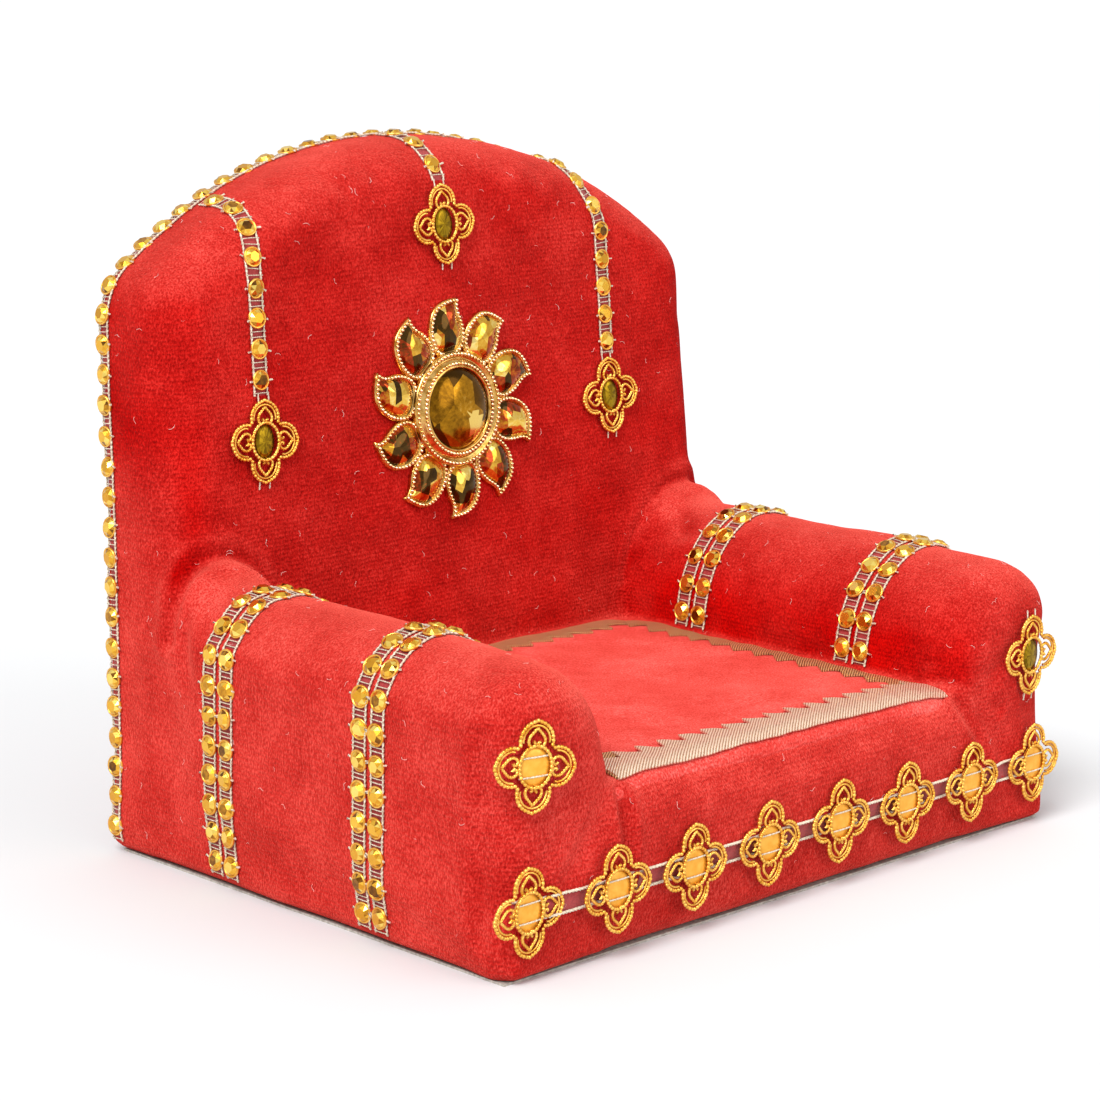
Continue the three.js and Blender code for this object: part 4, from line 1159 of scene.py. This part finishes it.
def quatrefoil_lines():
    """Rims, inner lines and hearts as lines of points, with the motif's face towards +Z."""
    rims, fine, hearts = [], [], []
    for degrees, reach, span in lobes():
        direction = math.radians(degrees)
        ahead = np.array([math.cos(direction), math.sin(direction)])
        side = np.array([-ahead[1], ahead[0]])
        centre = ahead * reach

        def at(across, outward, height):
            return (*(centre + side * across + ahead * outward), height)

        def arc(radius, tip, height, spread=1.0):
            angles = np.linspace(-span * spread, span * spread, 30)
            reaches = radius + tip * np.exp(-(angles / 0.16) ** 2)
            return [at(r * math.sin(a), r * math.cos(a), height) for a, r in zip(angles, reaches)]

        rims.append(arc(LOBE_RADIUS - BEAD_RADIUS, TIP_LENGTH, 0.55))
        fine.append(arc(LOBE_RADIUS - 1.05, 0, 0.45, 0.94))
        for flip in (-1, 1):
            hearts.append([at(flip * x, z, 0.55) for x, z in curve_through(HALF_HEART, 5)])
    ring = [(3.35 * math.cos(a), 3.75 * math.sin(a), 0.75) for a in np.linspace(0, 2 * math.pi, 61)]
    return rims + [ring], fine, hearts


def oval(width, height, lift, rise, sides=32, rings=3):
    """A low domed oval plate: rings of points round its middle, and one at its foot."""
    shares = [ring / rings for ring in range(1, rings + 1)]
    levels = [(share, lift + rise * (1 - share ** 2)) for share in shares] + [(1, 0.05)]
    points = [(0, 0, lift + rise)]
    for share, level in levels:
        points += [(width / 2 * share * x, height / 2 * share * y, level) for x, y, _ in ring_of(1, sides)]
    faces = [(0, 1 + k, 1 + (k + 1) % sides) for k in range(sides)]
    return points, faces + flipped(quads(len(levels), sides, True), 1)


def bead_template(radius):
    mesh = bpy.data.meshes.new("bead")
    shape = bmesh.new()
    bmesh.ops.create_icosphere(shape, subdivisions=1, radius=radius * MM)
    shape.to_mesh(mesh)
    shape.free()
    shade_smooth(mesh)
    obj = put_in_scene("bead", mesh)
    obj.hide_render = True
    return obj


rims, fine_lines, hearts = quatrefoil_lines()
rim_beads = [place for rim in rims for place in even_places([(p, (0, 0, 1.0)) for p in rim], BEAD_PITCH)]
bead = bead_template(BEAD_RADIUS)
wirework = joined("wirework", [
    cord_of("rim_wires", rims, RIM_RADIUS, GILT, 3.0, 0.5, 6, 2, 0.05),
    cord_of("heart_wires", hearts, WIRE_RADIUS, GILT, 1.2, 0.3, 6, 2, 0.18),
    cord_of("inner_wires", fine_lines, 0.26, GILT, 2.0, 0.5, 5, 2, 0.1),
    copies_of("rim_beads", rim_beads, bead, GILT)])
bpy.data.objects.remove(bead)
wirework.hide_render = True
print("one quatrefoil:", len(wirework.data.polygons), "faces")

# %% Setting the quatrefoils


def upright(point, normal, turn=0.0, lift=0.35):
    """A place for a motif: facing out, its top up, turned by an angle in degrees."""
    normal = unit(normal)
    up = unit(np.array((0, 0, 1.0)) - normal * normal[2])
    across = np.cross(up, normal)
    angle = math.radians(turn)
    return {"point": on_skin(point, normal, lift), "normal": normal,
            "along": up * math.cos(angle) + across * math.sin(angle), "across": across}


def motif_set(name, places, nodes, centre, slotted, seed):
    """Motifs with their wirework, their middles and the cords behind them. Over a plain middle the cords run
    across, and beside a slotted one only their upright ends show."""
    size = (4.6, 7.0, 0.5, 0.3) if slotted else (6.6, 7.4, 0.5, 0.04)
    plate = template("plate", *oval(*size), flat=False)
    cords = []
    for place in places:
        point, along, across, normal = (place[key] for key in ("point", "along", "across", "normal"))
        for side in (-1, 1):
            if slotted:
                cords += [[point + along * end * t + across * side * 1.3 + normal * (0.1 + 0.1 * (9.5 - t))
                           for t in (7.4, 8.4, 9.5)] for end in (-1, 1)]
            else:
                cords.append([point + across * t * 3.2 + along * side * 1.75 + normal * (0.78 - 0.2 * t * t)
                              for t in np.linspace(-1, 1, 9)])
    pieces = [copies_of(name + "_wirework", places, wirework, GILT, seed=seed),
              copies_of(name + "_middles", places, plate, centre, seed=seed, tone=(0.2, 0.9)),
              cord_of(name + "_cords", cords, 0.17, CORD, 1.3, 0.4, 6, 2, 0.3)]
    bpy.data.objects.remove(plate)
    settle(joined(name, pieces), "gold_motif", *nodes)


LACE_HEIGHT, LACE_PITCH, LACE_COUNT, LACE_SHIFT = 13.7, 21.0, 8, -2.0
MOTIF_DROP = 9.05  # from a chain's end to the middle of its motif
FORWARD = np.array((0, -1.0, 0))
tilts = np.random.default_rng(5).normal(0, 2.2, LACE_COUNT)
lace_places = []
for i, tilt in enumerate(tilts):
    x = (i - (LACE_COUNT - 1) / 2) * LACE_PITCH + LACE_SHIFT
    lace_places.append(upright((x, FRONT, LACE_HEIGHT + 0.25 * math.sin(i * 2.1)), FORWARD, tilt, 0.7))
left_place = upright((-HALF_WIDTH + 6.5, FRONT, 39.8), (-0.2, -1, 0.05), 6)
right_place = upright((HALF_WIDTH - 11.5, FRONT, 37.4), FORWARD)
hanging_places = []
for _, x, chain_end, turn in HANGING.values():
    z = chain_end - MOTIF_DROP
    hanging_places.append(upright((x, back_front(z), z), BACK_NORMAL, turn))
motif_set("lace_motifs", lace_places, [f"front_motif_{i + 1}" for i in range(LACE_COUNT)], GILT_DISC, False, 3)
motif_set("left_arm_quatrefoil", [left_place], ["left_arm_motif"], GILT_DISC, False, 4)
motif_set("right_arm_quatrefoil", [right_place], ["right_arm_motif"], SLOT, True, 5)
motif_set("hanging_quatrefoils", hanging_places, [f"hanging_motif_{name}" for name in HANGING], SLOT, True, 6)

# %% [markdown]
# The motifs along the front hang on the same two cords that the chains have, with the mauve net between them.

# %% Front ribbon
ribbon_places = even_places([((x, FRONT, LACE_HEIGHT), FORWARD) for x in np.linspace(-77.5, 77.5, 120)], 1.0)
ribbon_cords = [[beside(p, 0, offset, 0.35) for p in ribbon_places] for offset in (-1.8, 1.8)]
ribbon = joined("front_net_ribbon", [
    cord_of("ribbon_cords", ribbon_cords, 0.27, CORD, 1.6, 0.34, 8, 2, 0.3),
    net_ribbon("ribbon_net", ribbon_places, np.linspace(-1.8, 1.8, 5), 0.03)])
settle(ribbon, "net_ribbon", "front_ribbon")

# %% [markdown]
# The sun medallion is one moulding: a hub with two rings of beads round a dark cabochon, and ten paisley petals
# whose tips all bend clockwise. Each petal is a tray with a beaded rim and a faceted mirror stone in it. It is
# drawn flat, lying in the XY plane, and then stood against the backrest.

# %% Sun medallion
SUN_HEIGHT, SUN_RADIUS, PETALS, PETAL_TURN = 84.1, 23.0, 10, 4.0
SUN_SHIFT, HUB_RADIUS, CABOCHON_RADIUS, PETAL_HALF_WIDTH = -2.4, 12.0, 8.5, 5.0


def bezier(a, b, c, steps):
    t = np.linspace(0, 1, steps, endpoint=False)[:, None]
    return a * (1 - t) ** 2 + 2 * b * t * (1 - t) + c * t ** 2


# start, pull and end of each curve in shares of the petal's length and half width, and its number of steps
PETAL_CURVES = [
    ((0.0, 0.0), (-0.03, 0.7), (0.18, 0.9), 8), ((0.18, 0.9), (0.5, 1.18), (0.8, 0.74), 10),
    ((0.8, 0.74), (1.04, 0.36), (0.99, -0.8), 8), ((0.99, -0.8), (0.86, -0.6), (0.68, -0.78), 7),
    ((0.68, -0.78), (0.42, -1.06), (0.18, -0.86), 8), ((0.18, -0.86), (-0.02, -0.6), (0.0, 0.0), 7)]


def petal_outline():
    """A paisley, from its round belly at the hub to the tip bent clockwise."""
    inner = HUB_RADIUS - 0.9
    scale = np.array([SUN_RADIUS - inner, PETAL_HALF_WIDTH])
    return np.concatenate([bezier(*(scale * p + (inner, 0) for p in curve), steps)
                           for *curve, steps in PETAL_CURVES])


def inset_outline(outline, amount):
    """The outline drawn in by an amount, rounded where it would cross itself."""
    run = np.roll(outline, -1, 0) - np.roll(outline, 1, 0)
    normal = np.stack([run[:, 1], -run[:, 0]], 1) / np.maximum(np.linalg.norm(run, axis=1), 1e-9)[:, None]
    centre = outline.mean(0)
    if ((outline - centre) * normal).sum() < 0:
        normal = -normal
    moved = outline - normal * amount
    for _ in range(2):
        moved = moved * 0.5 + 0.25 * (np.roll(moved, 1, 0) + np.roll(moved, -1, 0))
    return moved


def resampled(outline, pitch):
    closed = np.concatenate([outline, outline[:1]])
    far = travelled(closed)
    return between(np.linspace(0, far[-1], max(6, round(far[-1] / pitch)), endpoint=False), far, closed)


def faceted(outline, levels, source, low, high):
    """A faceted stone over an outline: rings drawn to the middle, split into triangles, each with a tone of
    painted reflection.
    """
    centre, count, points = outline.mean(0), len(outline), []
    for ring, (share, height) in enumerate(levels):
        shifted = outline if ring % 2 == 0 else (outline + np.roll(outline, -1, 0)) / 2
        points += [(*(centre + (p - centre) * share), height) for p in shifted]
    faces = []
    for ring in range(len(levels) - 1):
        a, b, odd = ring * count, (ring + 1) * count, ring % 2
        for k in range(count):
            nxt = (k + 1) % count
            if odd:
                faces += [(a + k, b + nxt, b + k), (a + k, a + nxt, b + nxt)]
            else:
                faces += [(a + k, a + nxt, b + k), (a + nxt, b + nxt, b + k)]
    faces.append(tuple(range((len(levels) - 1) * count, len(levels) * count)))
    return points, faces, source.uniform(low, high, len(faces))


def toned_object(name, points, faces, reflection_tones, material):
    mesh = mesh_of(name, points, faces)
    layer = mesh.attributes.new("tone", "FLOAT", "FACE")
    layer.data.foreach_set("value", np.broadcast_to(reflection_tones, len(faces)).astype(float))
    mesh.materials.append(material)
    shade_smooth(mesh)
    return put_in_scene(name, mesh)


def turned(points, degrees):
    """Points turned round Z."""
    c, s = math.cos(math.radians(degrees)), math.sin(math.radians(degrees))
    return np.array([(x * c - y * s, x * s + y * c, z) for x, y, z in points])


def petal(turn, source):
    """One petal with its stone, and the places of the beads on its rim."""
    outline = petal_outline()
    wall = [(outline, 0.0), (outline, 1.55)]
    wall += [(inset_outline(outline, inset), height)
             for inset, height in ((0.15, 1.8), (1.0, 1.85), (1.1, 1.4))]
    points = [(*p, height) for ring, height in wall for p in ring]
    faces = quads(len(wall), len(outline), True)
    tray = toned_object("petal_tray", turned(points, turn), faces, 0.5, GILT_ROSE)
    levels = [(1.0, 1.5), (0.82, 2.3), (0.5, 2.75), (0.2, 2.9)]
    points, faces, reflection_tones = faceted(resampled(inset_outline(outline, 0.95), 1.2), levels, source, 0.1, 0.2)
    stone = toned_object("petal_stone", turned(points, turn), faces, reflection_tones, PETAL_STONE)
    return [tray, stone], turned([(*p, 1.95) for p in resampled(inset_outline(outline, 0.5), 0.92)], turn)


def sun_medallion():
    source = np.random.default_rng(12)
    bead_points, pieces = [], []
    for number in range(PETALS):
        parts, rim = petal(360 * (number + 0.5) / PETALS + PETAL_TURN, source)
        pieces += parts
        bead_points += list(rim)
    for radius, height, pitch in ((11.5, 3.0, 0.98), (9.5, 3.15, 0.9)):
        bead_points += ring_of(radius, round(2 * math.pi * radius / pitch), height)
    hub = lathe([(12.0, 0.0), (12.05, 2.4), (11.8, 2.75), (11.1, 2.75), (10.75, 2.2), (10.45, 2.2), (10.2, 2.9),
                 (9.2, 2.95), (8.95, 3.2), (8.65, 3.2), (8.5, 2.5)], 72)
    pieces.append(toned_object("hub", *hub, 0.5, GILT_ROSE))
    levels = [(1.0, 2.6), (0.9, 3.3), (0.75, 3.8), (0.55, 4.15), (0.3, 4.38), (0.1, 4.44)]
    circle = np.array(ring_of(CABOCHON_RADIUS, 24))[:, :2]
    points, faces, reflection_tones = faceted(circle, levels, source, 0.03, 0.1)
    x, y, _ = np.array([np.mean([points[v] for v in face], 0) for face in faces]).T
    # Painted highlight: the facets in a patch at the lower right are made lighter.
    reflection_tones = np.where((x > 1.5) & (y < -1.0) & (np.abs(x + y) < 3.2), 0.62, reflection_tones)
    pieces.append(toned_object("cabochon", points, faces, reflection_tones, CABOCHON))
    bead = bead_template(BEAD_RADIUS)
    places = [{"point": p, "normal": (0, 0, 1), "along": (1, 0, 0)} for p in bead_points]
    beads = copies_of("beads", places, bead, GILT_PALE)
    bpy.data.objects.remove(bead)
    medallion = joined("sun_medallion_gilt", pieces + [beads])
    spot = np.array((SUN_SHIFT, back_front(SUN_HEIGHT), SUN_HEIGHT)) + BACK_NORMAL * 0.3
    across = unit(np.cross((0, 0, 1.0), BACK_NORMAL))
    stand = Matrix((across, np.cross(BACK_NORMAL, across), BACK_NORMAL)).transposed().to_4x4()
    medallion.data.transform(Matrix.Translation(Vector(spot) * MM) @ stand)
    settle(medallion, "mirror_plastic", "sun_medallion")


sun_medallion()

# %% [markdown]
# The borders of the mat are woven zari lace: flat metal-wrapped thread in a close diagonal weave, straight
# along the outside and toothed like a shark's back along the inside. Each strip is a sheet that lies on the
# mat, with its ends cut for the corners. The weave is drawn about twice as coarse, as it is finer than a pixel.

# %% Woven borders
BORDER_WIDTH, TOOTH_PITCH, TOOTH_DEPTH, BORDER_THICKNESS = 9.4, 6.0, 4.0, 0.35


def zari(name, shades):
    material, tree, shader = new_material(name, {"Metallic": 0.6, "Roughness": 0.36})

    def threads(angle):
        mapping = add(tree, "ShaderNodeMapping", values={"Rotation": (0, 0, angle)},
                      links={"Vector": object_place(tree)})
        return add(tree, "ShaderNodeTexWave", {"bands_direction": "X", "wave_profile": "SIN"},
                   {"Scale": WAVE_PITCH / (0.5 * MM), "Distortion": 1.0, "Detail": 1.0},
                   {"Vector": mapping}).outputs["Fac"]

    weave = maths(tree, "MULTIPLY", threads(0.93), maths(tree, "MULTIPLY_ADD", threads(-0.6), 0.45, 0.55))
    both = maths(tree, "MULTIPLY_ADD", noise_pattern(tree, 0.5, 2.0), 0.6, weave)
    colour_by(tree, shader, both, (0.15, 0.5, 0.9), shades)
    feel(tree, shader, both, 0.16, 0.9)
    return material


ZARI_LIGHT = zari("zari_lace_pale_gold", ("#85503A", "#DCAC86", "#FFEAD2"))
# The rose lace is darker than the pale lace: partly its own rose gold, partly painted shade, as on the right
# strip tilted against the arm.
ZARI_ROSE_AND_SHADE = zari("zari_lace_rose_gold_and_shade", ("#4A200E", "#A06C3C", "#F6D49A"))


def border_strip(side, length, turn, corner, material, slot, mitre, lift):
    """One strip: columns across the lace, the inner edge rising and dropping with each tooth."""
    base = BORDER_WIDTH - TOOTH_DEPTH
    teeth = max(1, round((length - 2 * mitre) / TOOTH_PITCH))
    columns, plain_rows, tooth_rows = teeth * 14, 5, 3
    points = []
    for share in np.arange(columns + 1) / columns:
        tooth = (share * teeth) % 1 if share < 1 else 0.0
        fin = (tooth / 0.26) ** 1.2 if tooth < 0.26 else ((1 - tooth) / 0.74) ** 0.9
        rows = [base * row / plain_rows for row in range(plain_rows + 1)]
        rows += [base + TOOTH_DEPTH * fin * row / tooth_rows for row in range(1, tooth_rows + 1)]
        for across in rows:
            low = 0.3 + min(across, base) / base * (mitre - 0.3)
            points.append((low + (length - 2 * low) * share, across, 0.0))
    laid = [on_skin(p, (0, 0, 1.0), lift + 0.10 * math.sin(p[0] * 0.9) * math.sin(p[1] * 0.7), MAT_TREE)
            for p in turned(points, turn) + np.array((*corner, MAT_TOP))]
    faces = flipped(quads(columns + 1, len(rows)))
    obj = sheet_of(f"zari_border_{side}", laid, faces, BORDER_THICKNESS, material)
    settle(obj, slot, f"mat_border_{side}")


mat_left, mat_right = SEAT_LEFT + 0.9, SEAT_RIGHT - 1.2
mat_front, mat_back = FRONT + 2.4, back_front(MAT_TOP) - 1.6
mat_width, mat_depth = mat_right - mat_left, mat_back - mat_front
border_strip("front", mat_width, 0, (mat_left, mat_front), ZARI_LIGHT, "zari_light", 0.3, 0.5)
SIDES = [("right", mat_depth, 90, (mat_right, mat_front)), ("back", mat_width, 180, (mat_right, mat_back)),
         ("left", mat_depth, -90, (mat_left, mat_back))]
for side_name, length, turn, corner in SIDES:
    border_strip(side_name, length, turn, corner, ZARI_ROSE_AND_SHADE, "zari_rose", 5.7, 0.12)

# %% [markdown]
# Cut pile always catches lint. A few hundred short pale fibres lie on the velvet, each a little bent, on faces
# picked by chance with a fixed seed.

# %% Lint
LINT = thread_material("lint_fibre", ("#F0B8AC", "#FFE8E0"), 0.0, 0.9)


def lint(name, obj, count, seed):
    source = np.random.default_rng(seed)
    polygons = obj.data.polygons
    centres, normals = rows_of(polygons, "center") / MM, rows_of(polygons, "normal")
    bent = [(1.1 * math.sin(a), 1.1 * math.cos(a) - 0.9, 0.15 * math.sin(4 * a))
            for a in np.linspace(-0.8, 0.8, 7)]
    fibre = cord_of("fibre", [bent], 0.035, LINT, 3.0, 0.3, 4, 2, 0.0)
    fibre.hide_render = True
    open_faces = np.flatnonzero((centres[:, 2] > 4) & (normals[:, 2] > -0.4))
    places = []
    for face in source.choice(open_faces, count, replace=False):
        normal = normals[face]
        along = unit(np.cross(normal, source.normal(size=3)))
        places.append({"point": centres[face] + normal * 0.12, "normal": normal, "along": along})
    piece = copies_of(name, places, fibre, LINT, 6.28, 0.7, seed)
    bpy.data.objects.remove(fibre)
    settle(piece, "velvet")


lint("lint_on_velvet", body, 700, 41)

# %% [markdown]
# The throne stands on a piece of grey card, set back two millimetres under the velvet that is glued round it.

# %% Card
CARD, card_tree, card_shader = new_material("grey_card", {"Roughness": 0.9})
colour_by(card_tree, card_shader, noise_pattern(card_tree, 0.8, 4.0), (0.3, 0.7), ("#8A847C", "#BDB7AD"))
feel(card_tree, card_shader, noise_pattern(card_tree, 0.3, 3.0), 0.05, 0.6)
card_sides = (-HALF_WIDTH + 2.0, HALF_WIDTH - 2.0, FRONT + 2.2, BODY_DEPTH / 2 - 1.8)
card = template("card_base", *stacked([box_loop(*card_sides, z, 12) for z in (0.0, 0.45)]))
card.hide_render = False
card.data.materials.append(CARD)
settle(card, "card", "base_card")

for helper in (stone_piece, bezel_piece, wirework):
    bpy.data.objects.remove(helper)
print("templates removed")

# %% [markdown]
# The stage is a pale floor under soft studio light: a bright, even world, a broad key light from the upper
# left and a weaker one from the right. The floor's grey is chosen so that it comes out just white in this
# light, which leaves room for a soft shadow where the throne touches it.

# %% Stage and light


def stage_floor(reach_mm=4000):
    material, _, _ = new_material("floor_paper", {"Base Color": linear("#D4D6D7"), "Roughness": 0.9})
    mesh = raw_mesh("floor", box_loop(-reach_mm, reach_mm, -reach_mm, reach_mm, 0, 1), [(0, 1, 2, 3)])
    mesh.materials.append(material)
    put_in_scene("floor", mesh)


def soft_light(name, place, angle, strength):
    """A sun lamp that shines from a place towards the middle of the throne's foot."""
    data = bpy.data.lights.new(name, "SUN")
    data.angle, data.energy = angle, strength
    light = put_in_scene(name, data)
    light.rotation_mode = "QUATERNION"
    light.rotation_quaternion = (Vector(LIT_PLACE) - Vector(place)).to_track_quat("-Z", "Y")


LIT_PLACE = (0, 0, 0.05)
stage_floor()
world = bpy.data.worlds.new("studio")
world.use_nodes = True
tree = world.node_tree
tree.nodes.clear()
seen = add(tree, "ShaderNodeLightPath").outputs["Is Camera Ray"]
strength = add(tree, "ShaderNodeMapRange", values={"To Min": 0.72, "To Max": 1.05}, links={"Value": seen})
glow = add(tree, "ShaderNodeBackground", values={"Color": (1, 1, 1, 1)}, links={"Strength": strength})
add(tree, "ShaderNodeOutputWorld", links={"Surface": glow})
bpy.context.scene.world = world
bpy.context.scene.view_settings.view_transform = "Standard"
soft_light("key", (-0.72, -0.26, 0.88), 0.55, 3.3)
soft_light("fill", (0.35, -0.9, 0.45), 0.7, 0.95)
print("stage and light ready")
